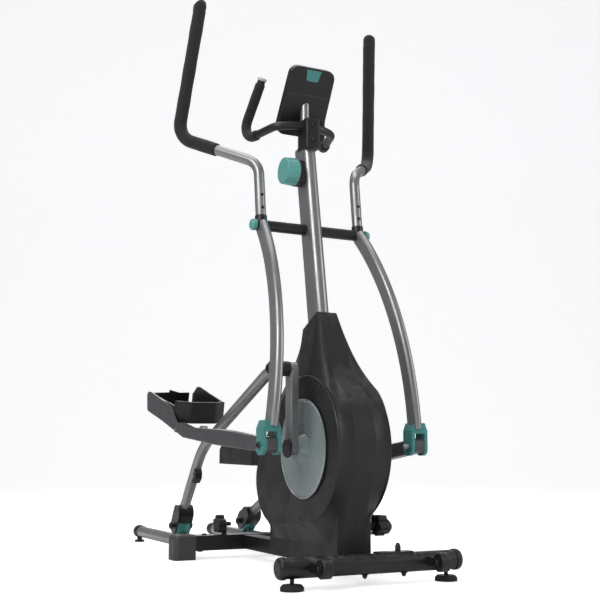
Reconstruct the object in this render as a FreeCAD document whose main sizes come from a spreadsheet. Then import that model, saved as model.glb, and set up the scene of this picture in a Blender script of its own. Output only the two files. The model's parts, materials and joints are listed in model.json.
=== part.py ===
import FreeCAD, Part
import math
import os
import re
import Sketcher

# Elliptical trainer: a front-drive crank set in a moulded housing swings two roller arms along rear
# rails.  Foot rails with pedals join the roller arms to two swing arms hung from a leaning mast.
# Millimetres.  +Z up, -Y is the front of the machine (the way the user faces), +X the user's left.
# Origin: on the floor, under the middle of the machine.

V = FreeCAD.Vector
ALONG_X = V(1, 0, 0)
ALONG_Y = V(0, 1, 0)
ALONG_Z = V(0, 0, 1)
SIDES = (("right", -1), ("left", 1))

doc = FreeCAD.newDocument("elliptical_trainer")
sheet = doc.addObject("Spreadsheet::Sheet", "sizes")

# Driving dimensions.  Fore-and-aft places ("..._back") are measured rearwards from the crank axle.
SIZES = {
    # whole machine
    "overall_length": 1525,
    "front_reach": 300,
    "fit_gap": 0.3,
    "running_gap": 0.05,
    "tube_wall": 2,
    # base
    "front_bar_back": -214,
    "front_bar_height": 51,
    "front_bar_radius": 24,
    "front_bar_length": 470,
    "bar_plate_start": 12,
    "bar_plate_length": 98,
    "bar_plate_width": 28,
    "bar_plate_sink": 7,
    "bar_stud_inset": 36,
    "bar_stud_radius": 7,
    "bar_stud_height": 15,
    "spine_width": 50,
    "spine_depth": 40,
    "spine_bottom": 28,
    "rear_beam_back": 550,
    "rear_beam_depth": 60,
    "rear_beam_top": 70,
    "rear_beam_thickness": 44,
    "rear_beam_length": 440,
    "beam_lug_side": 74,
    "beam_lug_thickness": 6,
    "beam_lug_height": 31,
    "beam_lug_width": 28,
    "beam_foot_width": 66,
    "beam_foot_overlap": 39,
    "beam_foot_round": 16,
    "rail_spacing": 284,
    "rail_height": 37,
    "rail_radius": 19,
    "rail_cap_length": 34,
    "rail_neck_radius": 9,
    "rail_pad_radius": 17,
    "rail_pad_thickness": 7,
    "transport_wheel_radius": 23,
    "transport_wheel_width": 26,
    "transport_wheel_spacing": 322,
    "transport_wheel_height": 53,
    "wheel_axle_radius": 4,
    "wheel_plate": 3,
    "level_foot_spacing": 428,
    "level_foot_radius": 28,
    "level_foot_thickness": 14,
    "level_stem_radius": 5,
    # mast, console and fixed handlebar
    "mast_lean": 9.3,
    "mast_width": 40,
    "mast_depth": 80,
    "mast_bottom": 560,
    "mast_top": 1195,
    "mast_back_at_pivot": 105,
    "pivot_back": 107,
    "pivot_height": 941,
    "pivot_sleeve_radius": 15.5,
    "pivot_axle_radius": 9,
    "pivot_cap_length": 15,
    "console_post_radius": 13.5,
    "console_post_back": 146,
    "console_post_top": 1322,
    "console_width": 152,
    "console_height": 204,
    "console_thickness": 26,
    "console_corner": 26,
    "console_tilt": 32,
    "console_back": 133,
    "console_middle": 1330,
    "screen_width": 104,
    "screen_height": 84,
    "screen_thickness": 2,
    "button_radius": 8,
    "button_height": 5,
    "handlebar_radius": 12,
    "handlebar_bend": 42,
    "handlebar_grip_radius": 15,
    "handlebar_back": 106,
    "clamp_wall": 3,
    "clamp_drop": 12,
    "clamp_reach": 18,
    "clamp_depth": 64,
    "clamp_height": 88,
    "clamp_round": 9,
    "knob_height": 1110,
    "knob_back": 116,
    "knob_radius": 40,
    "knob_thickness": 40,
    "knob_base_thickness": 25,
    # crank set
    "crank_height": 327,
    "crank_radius": 207,
    "crank_arm_width": 38,
    "crank_arm_thickness": 21,
    "crank_arm_outside": 122.6,
    "crank_axle_radius": 10,
    "crank_cap_radius": 25,
    "crank_cap_thickness": 6,
    "crank_disc_radius": 130,
    "crank_disc_thickness": 4,
    "crank_disc_inside": 78.6,
    "drive_pulley_radius": 110,
    "flywheel_pulley_radius": 22,
    "pulley_width": 12,
    "pulley_inside": 32,
    "belt_thickness": 3,
    "flywheel_back": 170,
    "flywheel_height": 285,
    "flywheel_radius": 84,
    "flywheel_thickness": 30,
    "flywheel_axle_radius": 8,
    # swing arms
    "arm_spacing": 308,
    "arm_length": 637,
    "arm_rest_angle": 17.2,
    "arm_bow": 71,
    "arm_tube_width": 25,
    "arm_tube_depth": 48,
    "arm_hub_width": 37,
    "fork_spacing": 434,
    "fork_prong": 9,
    "fork_depth": 44,
    "fork_pin_radius": 7,
    "handle_radius": 15,
    "handle_grip_radius": 18,
    "handle_bend": 60,
    "handle_hole_start": 23,
    "handle_hole_step": 38,
    "handle_hole_radius": 5,
    "handle_stub_length": 125,
    "handle_collar_height": 27,
    # foot rails and pedals
    "hook_along": 662,
    "hook_rise": 58,
    "hook_width": 22,
    "bracket_reach": 42,
    "bracket_rise": 22,
    "bracket_round": 27,
    "foot_link": 656,
    "foot_rail_width": 30,
    "foot_rail_depth": 40,
    "pedal_inside": 52,
    "pedal_corner": 20,
    "guard_thickness": 6,
    "pedal_wall": 5,
    "pedal_floor": 6,
    # roller arms
    "roller_link": 887,
    "roller_radius": 36,
    "roller_groove_radius": 29,
    "roller_width": 40,
    "roller_axle_radius": 6,
    "roller_tube_radius": 16,
    "link_pivot_along": 565,
    "link_pivot_rise": 160,
    "link_pin_radius": 7,
    "pin_hub_radius": 20,
    "pin_hub_outside": 176,
    # housing
    "housing_half_width": 72,
    "housing_neck_half_width": 30,
    "housing_wall": 3,
    "cover_radius": 192,
    "cover_step": 4,
    "axle_hole_radius": 16,
    "lock_knob_radius": 28,
    "lock_knob_thickness": 23,
    "knob_stem_radius": 6,
    "knob_stem_length": 24,
}


def fill_sheet():
    for row, (alias, number) in enumerate(SIZES.items(), start=1):
        sheet.set("A%d" % row, alias)
        sheet.set("B%d" % row, str(number))
        sheet.setAlias("B%d" % row, alias)
    doc.recompute()


fill_sheet()
ALIAS = re.compile(r"[a-z][a-z_]+")


def value(expression):
    """The number an expression in sheet aliases comes to."""
    return float(sheet.evalExpression(expression))


def bind(thing, field, expression):
    """Ties a property or sketch constraint to the sheet."""
    qualified = ALIAS.sub(lambda word: "sizes." + word.group() if word.group() in SIZES else word.group(),
                          expression)
    thing.setExpression(field, qualified)


CRANK_Y = value("front_reach - overall_length / 2")


def at(x, back, height):
    """A point of the machine: across, rearwards of the crank axle, up from the floor."""
    return V(x, CRANK_Y + back, height)


nodes = []


def keep(thing, label):
    """Names a finished sub-part and lists it for writing."""
    thing.Label = label
    nodes.append(thing)
    return thing


def turn_to(direction):
    """The rotation that lays a piece's own Z axis along a direction."""
    return FreeCAD.Rotation(ALONG_Z, direction)


def place(thing, position, rotation=None):
    thing.Placement = FreeCAD.Placement(position, rotation or FreeCAD.Rotation())
    return thing


# ---------------------------------------------------------------- sketches and bodies


def new_body(name):
    return doc.addObject("PartDesign::Body", name + "_body")


def new_sketch(body, role):
    sketch = body.newObject("Sketcher::SketchObject", body.Name + "_sketch")
    plane = [item for item in body.Origin.OriginFeatures if item.Role == role][0]
    sketch.AttachmentSupport = [(plane, "")]
    sketch.MapMode = "FlatFace"
    return sketch


def fix_point(sketch, piece, end, across, up):
    """Holds one sketch point at sheet-driven coordinates."""
    for kind, expression in (("DistanceX", across), ("DistanceY", up)):
        index = sketch.addConstraint(Sketcher.Constraint(kind, -1, 1, piece, end, value(expression)))
        bind(sketch, "Constraints[%d]" % index, expression)


def polygon(body, role, corners):
    """A closed straight-sided outline, each corner given as two expressions."""
    sketch = new_sketch(body, role)
    points = [V(value(across), value(up), 0) for across, up in corners]
    count = len(points)
    for index in range(count):
        sketch.addGeometry(Part.LineSegment(points[index], points[(index + 1) % count]), False)
    for index in range(count):
        sketch.addConstraint(Sketcher.Constraint("Coincident", index, 2, (index + 1) % count, 1))
    for index, (across, up) in enumerate(corners):
        fix_point(sketch, index, 1, across, up)
    return sketch


def circle(body, role, across, up, radius):
    sketch = new_sketch(body, role)
    centre = V(value(across), value(up), 0)
    sketch.addGeometry(Part.Circle(centre, ALONG_Z, value(radius)), False)
    fix_point(sketch, 0, 3, across, up)
    index = sketch.addConstraint(Sketcher.Constraint("Radius", 0, value(radius)))
    bind(sketch, "Constraints[%d]" % index, radius)
    return sketch


def slot(body, role, first, second, radius):
    """A straight bar with full-round ends about two centres, each a pair of expressions."""
    sketch = new_sketch(body, role)
    start = V(value(first[0]), value(first[1]), 0)
    end = V(value(second[0]), value(second[1]), 0)
    size = value(radius)
    along = (end - start).normalize()
    aside = V(-along.y, along.x, 0) * size
    heading = math.atan2(along.y, along.x)
    quarter = math.pi / 2
    near_cap = Part.ArcOfCircle(Part.Circle(start, ALONG_Z, size), heading + quarter, heading + 3 * quarter)
    far_cap = Part.ArcOfCircle(Part.Circle(end, ALONG_Z, size), heading - quarter, heading + quarter)
    sketch.addGeometry(near_cap, False)
    sketch.addGeometry(Part.LineSegment(start - aside, end - aside), False)
    sketch.addGeometry(far_cap, False)
    sketch.addGeometry(Part.LineSegment(end + aside, start + aside), False)
    for piece in range(4):
        sketch.addConstraint(Sketcher.Constraint("Tangent", piece, 2, (piece + 1) % 4, 1))
    fix_point(sketch, 0, 3, *first)
    fix_point(sketch, 2, 3, *second)
    index = sketch.addConstraint(Sketcher.Constraint("Radius", 0, size))
    bind(sketch, "Constraints[%d]" % index, radius)
    return sketch


def pad(body, sketch, length, both_ways=True):
    feature = body.newObject("PartDesign::Pad", body.Name + "_pad")
    feature.Profile = sketch
    feature.Midplane = both_ways
    bind(feature, "Length", length)
    return feature


def pocket(body, sketch, length, both_ways=True, reverse=False):
    feature = body.newObject("PartDesign::Pocket", body.Name + "_pocket")
    feature.Profile = sketch
    feature.Midplane = both_ways
    feature.Reversed = reverse
    bind(feature, "Length", length)
    return feature


def soften(body, kind, size, chosen):
    """Fillets or chamfers the edges of the body's tip that pass the test."""
    doc.recompute()
    tip = body.Tip
    names = ["Edge%d" % (index + 1) for index, edge in enumerate(tip.Shape.Edges) if chosen(edge)]
    feature = body.newObject("PartDesign::" + kind, body.Name + "_" + kind.lower())
    feature.Base = (tip, names)
    bind(feature, "Radius" if kind == "Fillet" else "Size", size)
    return feature


def parallel_to(direction):
    """Picks straight edges that run along a direction."""
    def chosen(edge):
        if not isinstance(edge.Curve, Part.Line):
            return False
        return abs(abs(edge.tangentAt(edge.FirstParameter).dot(direction)) - 1) < 1e-6
    return chosen


def beyond(direction, distance):
    """Picks edges that lie wholly past a distance along a direction."""
    def chosen(edge):
        return all(vertex.Point.dot(direction) > distance - 1e-4 for vertex in edge.Vertexes)
    return chosen


def turned(name, profile, rounding=None, round_above=None):
    """A lathe-turned piece: a half section of (radius, height) pairs spun about the piece's own Z."""
    body = new_body(name)
    sketch = polygon(body, "XZ_Plane", profile)
    feature = body.newObject("PartDesign::Revolution", body.Name + "_turn")
    feature.Profile = sketch
    feature.ReferenceAxis = (sketch, ["V_Axis"])
    feature.Angle = 360
    if rounding:
        soften(body, "Fillet", rounding, beyond(ALONG_Z, value(round_above)))
    return body


def feature_of(name, shape):
    """A plain feature for a swept or combined shape whose sizes come from the sheet."""
    thing = doc.addObject("Part::Feature", name + "_shape")
    thing.Shape = shape
    return thing


def combined(kind, name, base, tool):
    """A cut or a union of two document objects."""
    thing = doc.addObject("Part::" + kind, name + "_" + kind.lower())
    thing.Base = base
    thing.Tool = tool
    return thing


def block(name, width, depth, height, corner):
    """A Part box with sheet-driven sides, its corner at a point."""
    thing = doc.addObject("Part::Box", name + "_block")
    bind(thing, "Length", width)
    bind(thing, "Width", depth)
    bind(thing, "Height", height)
    thing.Placement.Base = corner
    return thing


def rod(name, radius, length, start, direction):
    """A Part cylinder with a sheet-driven radius and length from a start point."""
    thing = doc.addObject("Part::Cylinder", name + "_rod")
    bind(thing, "Radius", radius)
    bind(thing, "Height", length)
    return place(thing, start, turn_to(direction))


# ---------------------------------------------------------------- swept tubes


def rounded_path(corners, radii):
    """Straight runs between corners, joined by tangent arcs of the given radii."""
    edges = []
    start = corners[0]
    for before, corner, after, radius in zip(corners, corners[1:], corners[2:], radii):
        into = (corner - before).normalize()
        out = (after - corner).normalize()
        half_turn = into.getAngle(out) / 2
        setback = radius * math.tan(half_turn)
        first = corner - into * setback
        last = corner + out * setback
        towards = (out - into).normalize()
        middle = corner + towards * (radius / math.cos(half_turn) - radius)
        edges.append(Part.LineSegment(start, first).toShape())
        edges.append(Part.Arc(first, middle, last).toShape())
        start = last
    edges.append(Part.LineSegment(start, corners[-1]).toShape())
    return Part.Wire(edges)


def round_sweep(path, radius):
    """A solid round bar along a path."""
    first = path.Edges[0]
    start = first.valueAt(first.FirstParameter)
    heading = first.tangentAt(first.FirstParameter)
    section = Part.Wire(Part.makeCircle(radius, start, heading))
    return path.makePipeShell([section], True, False)


def flat_oval(width, depth):
    """A flat-sided oval wire in the XY plane: straight sides with full-round front and back."""
    radius = width / 2
    run = depth / 2 - radius
    corners = (V(radius, -run, 0), V(radius, run, 0), V(-radius, run, 0), V(-radius, -run, 0))
    edges = [
        Part.LineSegment(corners[0], corners[1]).toShape(),
        Part.Arc(corners[1], V(0, run + radius, 0), corners[2]).toShape(),
        Part.LineSegment(corners[2], corners[3]).toShape(),
        Part.Arc(corners[3], V(0, -run - radius, 0), corners[0]).toShape(),
    ]
    return Part.Wire(edges)


def hollow(path, radius, wall):
    return round_sweep(path, radius).cut(round_sweep(path, radius - wall))


# ---------------------------------------------------------------- linkage at rest


def circle_meeting(first, first_radius, second, second_radius):
    """The forward meeting point of two circles in the side view, as (back, height) pairs."""
    across = second[0] - first[0]
    up = second[1] - first[1]
    gap = math.hypot(across, up)
    along = (gap ** 2 + first_radius ** 2 - second_radius ** 2) / (2 * gap)
    aside = math.sqrt(first_radius ** 2 - along ** 2)
    middle = (first[0] + across * along / gap, first[1] + up * along / gap)
    meetings = [
        (middle[0] + turn * up * aside / gap, middle[1] - turn * across * aside / gap) for turn in (-1, 1)
    ]
    return min(meetings)


def linkage(pin_height):
    """Side-view places of one side's pivots, with the crank pin straight above or below the axle."""
    crank_pin = (0.0, pin_height)
    roller_height = value("rail_height + rail_radius + fit_gap + roller_groove_radius")
    drop = pin_height - roller_height
    reach = math.sqrt(value("roller_link") ** 2 - drop ** 2)
    slope = math.atan2(-drop, reach)
    along = value("link_pivot_along")
    rise = value("link_pivot_rise")
    link_pivot = (along * math.cos(slope) - rise * math.sin(slope),
                  pin_height + along * math.sin(slope) + rise * math.cos(slope))
    hanger = (value("pivot_back"), value("pivot_height"))
    fork = circle_meeting(hanger, value("arm_length"), link_pivot, value("foot_link"))
    arm_angle = math.degrees(math.atan2(hanger[0] - fork[0], hanger[1] - fork[1]))
    foot_angle = math.degrees(math.atan2(link_pivot[1] - fork[1], link_pivot[0] - fork[0]))
    return {
        "crank_pin": crank_pin,
        "roller": (reach, roller_height),
        "slope": math.degrees(slope),
        "link_pivot": link_pivot,
        "fork": fork,
        "arm_angle": arm_angle,
        "foot_angle": foot_angle,
    }


LINKS = {
    "right": linkage(value("crank_height + crank_radius")),
    "left": linkage(value("crank_height - crank_radius")),
}
MODELLED_FOOT_ANGLE = LINKS["right"]["foot_angle"]


def tilt(degrees):
    """A turn about X: positive lifts the rear end."""
    return FreeCAD.Rotation(ALONG_X, degrees)


# ---------------------------------------------------------------- base frame


def make_front_bar():
    """Cross tube with welded wheel plates, wheel axles, holes for the levelling feet and a studded plate."""
    radius = value("front_bar_radius")
    wall = value("tube_wall")
    half = value("front_bar_length") / 2
    start = at(-half, value("front_bar_back"), value("front_bar_height"))
    shape = Part.makeCylinder(radius, 2 * half, start, ALONG_X)
    wheel_y = -value("overall_length") / 2 + value("transport_wheel_radius")
    wheel_z = value("transport_wheel_height")
    plate = value("wheel_plate")
    gap = value("transport_wheel_width") / 2 + 1
    lug = 11
    for _, side in SIDES:
        centre = side * value("transport_wheel_spacing") / 2
        axle = Part.makeCylinder(value("wheel_axle_radius"), 2 * (gap + plate),
                                 V(centre - gap - plate, wheel_y, wheel_z), ALONG_X)
        shape = shape.fuse(axle)
        for face in (centre - gap - plate, centre + gap):
            eye = Part.makeCylinder(lug, plate, V(face, wheel_y, wheel_z), ALONG_X)
            web = Part.makeBox(plate, start.y - wheel_y, 2 * lug, V(face, wheel_y, wheel_z - lug))
            shape = shape.fuse([eye, web])
    shape = shape.cut(Part.makeCylinder(radius - wall, 2 * half, start, ALONG_X))
    for _, side in SIDES:
        hole = Part.makeCylinder(value("level_stem_radius + running_gap"), radius,
                                 V(side * value("level_foot_spacing") / 2, start.y, start.z - radius - 1))
        shape = shape.cut(hole)
    long = value("bar_plate_length")
    deep = value("bar_plate_width")
    crown = V(value("bar_plate_start"), start.y - deep / 2, start.z + radius - value("bar_plate_sink"))
    plate_blank = Part.makeBox(long, deep, value("bar_plate_sink") + value("wheel_plate"), crown)
    stud_foot = V(crown.x + long - value("bar_stud_inset"), start.y, crown.z + value("bar_plate_sink"))
    stud_radius = value("bar_stud_radius")
    stud_height = value("bar_stud_height")
    stud = Part.makeCylinder(stud_radius, stud_height, stud_foot, ALONG_Z)
    shoulder = stud_foot + ALONG_Z * stud_height
    stud_tip = Part.makeCone(stud_radius, stud_radius / 2, stud_height / 2, shoulder, ALONG_Z)
    shape = shape.fuse(plate_blank.cut(Part.makeCylinder(radius - wall, 2 * half, start, ALONG_X)))
    keep(feature_of("front_bar", shape.fuse([stud, stud_tip])), "front_bar")


def make_front_bar_caps():
    caps = []
    for _, side in SIDES:
        cap = turned("front_bar_cap", [
            ("0", "-12"),
            ("front_bar_radius - tube_wall - running_gap", "-12"),
            ("front_bar_radius - tube_wall - running_gap", "0"),
            ("front_bar_radius + 2", "0"),
            ("front_bar_radius + 2", "18"),
            ("0", "18"),
        ], "10", "17")
        place(cap, at(side * value("front_bar_length") / 2, value("front_bar_back"), value("front_bar_height")),
              turn_to(ALONG_X * side))
        caps.append(cap)
    group(caps, "front_bar_caps")


def group(members, label):
    """Separate matching solids that share one node."""
    thing = doc.addObject("Part::Compound", label + "_group")
    thing.Links = members
    keep(thing, label)


def make_base_frame():
    """The spine tube with two side plates that carry the crank bearings, flywheel and mast foot."""
    bar = value("front_bar_radius")
    front = value("front_bar_back")
    back = value("rear_beam_back - rear_beam_depth / 2")
    bottom = value("spine_bottom")
    width = value("spine_width")
    depth = value("spine_depth")
    wall = value("tube_wall")
    spine = Part.makeBox(width, back - front, depth, at(-width / 2, front, bottom))
    room = Part.makeBox(width - 2 * wall, back - front + 2, depth - 2 * wall,
                        at(wall - width / 2, front - 1, bottom + wall))
    cross = Part.makeCylinder(bar, width, at(-width / 2, front, value("front_bar_height")), ALONG_X)
    spine = spine.cut([room, cross])
    top = bottom + depth
    axle_height = value("crank_height")
    wheel_back = value("flywheel_back")
    wheel_height = value("flywheel_height")
    mast_foot = value("mast_bottom")
    foot_back = mast_centre(mast_foot)
    outline = [
        (-60, top), (110, top), (wheel_back + 30, wheel_height - 40), (wheel_back + 30, wheel_height + 30),
        (80, axle_height + 70), (foot_back + 30, mast_foot + 70), (foot_back - 25, mast_foot + 70),
        (-60, axle_height + 60),
    ]
    inside = value("mast_width") / 2 + 2
    shape = spine
    for _, side in SIDES:
        face = side * inside
        points = [at(face, back_of, height) for back_of, height in outline]
        plate = Part.Face(Part.makePolygon(points + points[:1])).extrude(ALONG_X * (4 * side))
        shape = shape.fuse(plate)
    reach = inside + 5
    crank_hole = Part.makeCylinder(value("crank_axle_radius + running_gap"), 2 * reach,
                                   at(-reach, 0, axle_height), ALONG_X)
    hub_hole = Part.makeCylinder(value("flywheel_pulley_radius"), reach,
                                 at(0, wheel_back, wheel_height), ALONG_X)
    spindle_end = value("pulley_inside + pulley_width") + 4
    spindle = Part.makeCylinder(value("flywheel_axle_radius"), spindle_end + inside,
                                at(-inside, wheel_back, wheel_height), ALONG_X)
    shape = shape.cut([crank_hole, hub_hole]).fuse(spindle)
    keep(feature_of("base_frame", shape), "base_frame")


def make_rear_beam():
    length = value("rear_beam_length")
    depth = value("rear_beam_depth")
    tall = value("rear_beam_thickness")
    corner = at(-length / 2, value("rear_beam_back") - depth / 2, value("rear_beam_top") - tall)
    outer = block("rear_beam", "rear_beam_length", "rear_beam_depth", "rear_beam_thickness", corner)
    wall = value("tube_wall")
    room = block("rear_beam_room", "rear_beam_length + 2", "rear_beam_depth - 2 * tube_wall",
                 "rear_beam_thickness - 2 * tube_wall", corner + V(-1, wall, wall))
    tube = combined("Cut", "rear_beam_tube", outer, room)
    thick = value("beam_lug_thickness")
    rise = value("beam_lug_height")
    half = value("beam_lug_width") / 2
    face = -value("beam_lug_side")
    seat = at(face - thick, value("rear_beam_back"), value("rear_beam_top") + rise)
    web = Part.makeBox(thick, 2 * half, rise, seat - V(0, half, rise))
    lug = Part.makeCylinder(half, thick, seat, ALONG_X).fuse(web)
    lug = lug.cut(Part.makeCylinder(value("knob_stem_radius + running_gap"), thick, seat, ALONG_X))
    doc.recompute()
    keep(feature_of("rear_beam", tube.Shape.fuse(lug)), "rear_beam")


def make_rear_beam_feet():
    """Moulded end shoes that slip over the beam and stand on the floor."""
    feet = []
    for _, side in SIDES:
        body = new_body("rear_beam_foot")
        half = "(rear_beam_depth / 2 + 5)"
        pad(body, polygon(body, "YZ_Plane", [
            ("-" + half, "0"), (half, "0"), (half, "rear_beam_top + 4"), ("-" + half, "rear_beam_top + 4"),
        ]), "beam_foot_width")
        soften(body, "Fillet", "12", lambda edge: parallel_to(ALONG_X)(edge) and edge.Vertexes[0].Z > 1)
        soften(body, "Fillet", "beam_foot_round", lambda edge: parallel_to(ALONG_Z)(edge)
               and side * edge.Vertexes[0].X > 0)
        reach = value("rear_beam_length / 2 + beam_foot_width / 2 - beam_foot_overlap")
        place(body, at(side * reach, value("rear_beam_back"), 0))
        length = value("rear_beam_length")
        corner = at(-length / 2, value("rear_beam_back - rear_beam_depth / 2"),
                    value("rear_beam_top - rear_beam_thickness"))
        stock = block("shoe_room", "rear_beam_length", "rear_beam_depth", "rear_beam_thickness", corner)
        feet.append(combined("Cut", "rear_beam_foot", body, stock))
    group(feet, "rear_beam_feet")


def make_rails():
    start = value("rear_beam_back + rear_beam_depth / 2")
    length = value("overall_length - front_reach - rear_beam_back - rear_beam_depth / 2 - 5")
    feet = []
    for name, side in SIDES:
        centre = side * value("rail_spacing") / 2
        begin = at(centre, start, value("rail_height"))
        outer = Part.makeCylinder(value("rail_radius"), length, begin, ALONG_Y)
        inner = Part.makeCylinder(value("rail_radius - tube_wall"), length, begin, ALONG_Y)
        keep(feature_of(name + "_rail", outer.cut(inner)), name + "_rail")
        cap_length = value("rail_cap_length")
        rear = value("overall_length") / 2
        cap = turned("rail_cap", [
            ("0", "-rail_cap_length"), ("rail_radius + 3", "-rail_cap_length"),
            ("rail_radius + 3", "0"), ("0", "0"),
        ], "9", "0")
        place(cap, V(centre, rear, begin.z), turn_to(ALONG_Y))
        stand_foot = V(centre, rear - cap_length / 2, 0)
        neck = rod("rail_neck", "rail_neck_radius", "rail_height", stand_foot, ALONG_Z)
        sole = rod("rail_pad", "rail_pad_radius", "rail_pad_thickness", stand_foot, ALONG_Z)
        joined = combined("Fuse", "rail_foot_blank", cap, combined("Fuse", "rail_stand", neck, sole))
        stock = feature_of("rail_stock", Part.makeCylinder(value("rail_radius"), length, begin, ALONG_Y))
        feet.append(combined("Cut", "rail_foot", joined, stock))
    group(feet, "rail_feet")


def make_transport_wheels():
    for name, side in SIDES:
        half = "transport_wheel_width / 2"
        wheel = turned(name + "_transport_wheel", [
            ("wheel_axle_radius + running_gap", "-" + half),
            ("transport_wheel_radius - 2", "-" + half),
            ("transport_wheel_radius", "-" + half + " + 2"),
            ("transport_wheel_radius", half + " - 2"),
            ("transport_wheel_radius - 2", half),
            ("wheel_axle_radius + running_gap", half),
        ])
        place(wheel, V(side * value("transport_wheel_spacing") / 2,
                       value("transport_wheel_radius - overall_length / 2"), value("transport_wheel_height")),
              turn_to(ALONG_X))
        keep(wheel, name + "_transport_wheel")


def make_level_feet():
    for name, side in SIDES:
        foot = turned(name + "_level_foot", [
            ("0", "0"),
            ("level_foot_radius", "0"),
            ("level_foot_radius", "level_foot_thickness * 0.6"),
            ("level_foot_radius - 5", "level_foot_thickness"),
            ("level_stem_radius", "level_foot_thickness"),
            ("level_stem_radius", "front_bar_height - 4"),
            ("0", "front_bar_height - 4"),
        ])
        place(foot, at(side * value("level_foot_spacing") / 2, value("front_bar_back"), 0))
        keep(foot, name + "_level_foot")


# ---------------------------------------------------------------- mast and console


def mast_centre(height):
    """How far back the leaning mast's middle stands at a height."""
    rise = height - value("pivot_height")
    return value("mast_back_at_pivot") + rise * math.tan(math.radians(value("mast_lean")))


def mast_bar(clearance, bottom, top):
    """The mast's outer shape grown by a clearance, between two heights."""
    width = value("mast_width") + 2 * clearance
    depth = value("mast_depth") + 2 * clearance
    section = flat_oval(width, depth)
    lean = -value("mast_lean")
    section.Placement = FreeCAD.Placement(at(0, mast_centre(bottom), bottom), tilt(lean))
    rise = V(0, mast_centre(top) - mast_centre(bottom), top - bottom)
    return Part.Face(section).extrude(rise)


def pivot_room(clearance):
    length = value("arm_spacing")
    radius = value("pivot_sleeve_radius") + clearance
    start = at(-length / 2, value("pivot_back"), value("pivot_height"))
    return Part.makeCylinder(radius, length, start, ALONG_X)


def make_mast():
    bottom = value("mast_bottom")
    top = value("mast_top")
    outer = mast_bar(0, bottom, top)
    inner = mast_bar(-value("tube_wall"), bottom, top)
    shape = outer.cut(inner).cut(pivot_room(0))
    keep(feature_of("mast", shape), "mast")


def make_console_post():
    """Slim tube from the mast head up to the console's back."""
    radius = value("console_post_radius")
    back = value("console_post_back")
    bottom = value("mast_top")
    top = value("console_post_top")
    post = Part.makeCylinder(radius, top - bottom + 60, at(0, back, bottom), ALONG_Z)
    wall = value("tube_wall")
    room = Part.makeCylinder(radius - wall, top - bottom + 60, at(0, back, bottom), ALONG_Z)
    post = post.cut(room).cut(console_form())
    lowest = min(post.Solids, key=lambda solid: solid.BoundBox.ZMin)
    keep(feature_of("console_post", lowest), "console_post")


def console_placement():
    """Console local axes: X across, Y up the plate, Z out of the face towards the user."""
    facing = tilt(90 - value("console_tilt"))
    flip = FreeCAD.Rotation(ALONG_Z, 180)
    return FreeCAD.Placement(at(0, value("console_back"), value("console_middle")), flip.multiply(facing))


def console_form():
    """A roomy block behind the console's back plane, used to trim the post."""
    size = 400
    form = Part.makeBox(size, size, size, V(-size / 2, -size / 2, 0))
    form.Placement = console_placement()
    return form


def make_console():
    body = new_body("console")
    half = "console_width / 2"
    tall = "console_height / 2"
    pad(body, polygon(body, "XY_Plane", [
        (half + " - 1", "-" + tall), (half + " - 5", tall),
        ("-" + half + " + 5", tall), ("-" + half + " + 1", "-" + tall),
    ]), "console_thickness", False)
    soften(body, "Fillet", "console_corner", parallel_to(ALONG_Z))
    soften(body, "Fillet", "6", beyond(ALONG_Z, value("console_thickness")))
    soften(body, "Fillet", "4", lambda edge: all(abs(vertex.Z) < 1e-4 for vertex in edge.Vertexes))
    face = polygon(body, "XY_Plane", [
        ("-screen_width / 2", "-16"), ("screen_width / 2", "-16"),
        ("screen_width / 2", "screen_height - 16"), ("-screen_width / 2", "screen_height - 16"),
    ])
    face.AttachmentOffset = FreeCAD.Placement(V(0, 0, value("console_thickness")), FreeCAD.Rotation())
    pocket(body, face, "screen_thickness", False)
    well = circle(body, "XY_Plane", "0", "-50", "button_radius + fit_gap")
    well.AttachmentOffset = FreeCAD.Placement(V(0, 0, value("console_thickness")), FreeCAD.Rotation())
    pocket(body, well, "button_height + 2", False)
    body.Placement = console_placement()
    keep(body, "console")

    screen = new_body("console_screen")
    gap = "fit_gap"
    pad(screen, polygon(screen, "XY_Plane", [
        ("-screen_width / 2 + " + gap, "-16 + " + gap), ("screen_width / 2 - " + gap, "-16 + " + gap),
        ("screen_width / 2 - " + gap, "screen_height - 16 - " + gap),
        ("-screen_width / 2 + " + gap, "screen_height - 16 - " + gap),
    ]), "screen_thickness", False)
    face_depth = value("console_thickness - screen_thickness")
    screen.Placement = console_placement().multiply(FreeCAD.Placement(V(0, 0, face_depth), FreeCAD.Rotation()))
    keep(screen, "console_screen")

    button = turned("console_button", [
        ("0", "0"), ("button_radius", "0"), ("button_radius", "button_height + 1"), ("0", "button_height + 1"),
    ], "1.5", "button_height")
    base = value("console_thickness - button_height")
    button.Placement = console_placement().multiply(FreeCAD.Placement(V(0, -50, base), FreeCAD.Rotation()))
    keep(button, "console_button")


def handlebar_corners():
    """Corner points of the fixed handlebar from the right-hand end round the front to the left."""
    right = [at(-100, 235, 1418), at(-136, 316, 1242), at(-92, 150, 1252)]
    left = [at(-point.x, point.y - CRANK_Y, point.z) for point in reversed(right)]
    return right + [at(0, value("handlebar_back"), 1256)] + left


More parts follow.
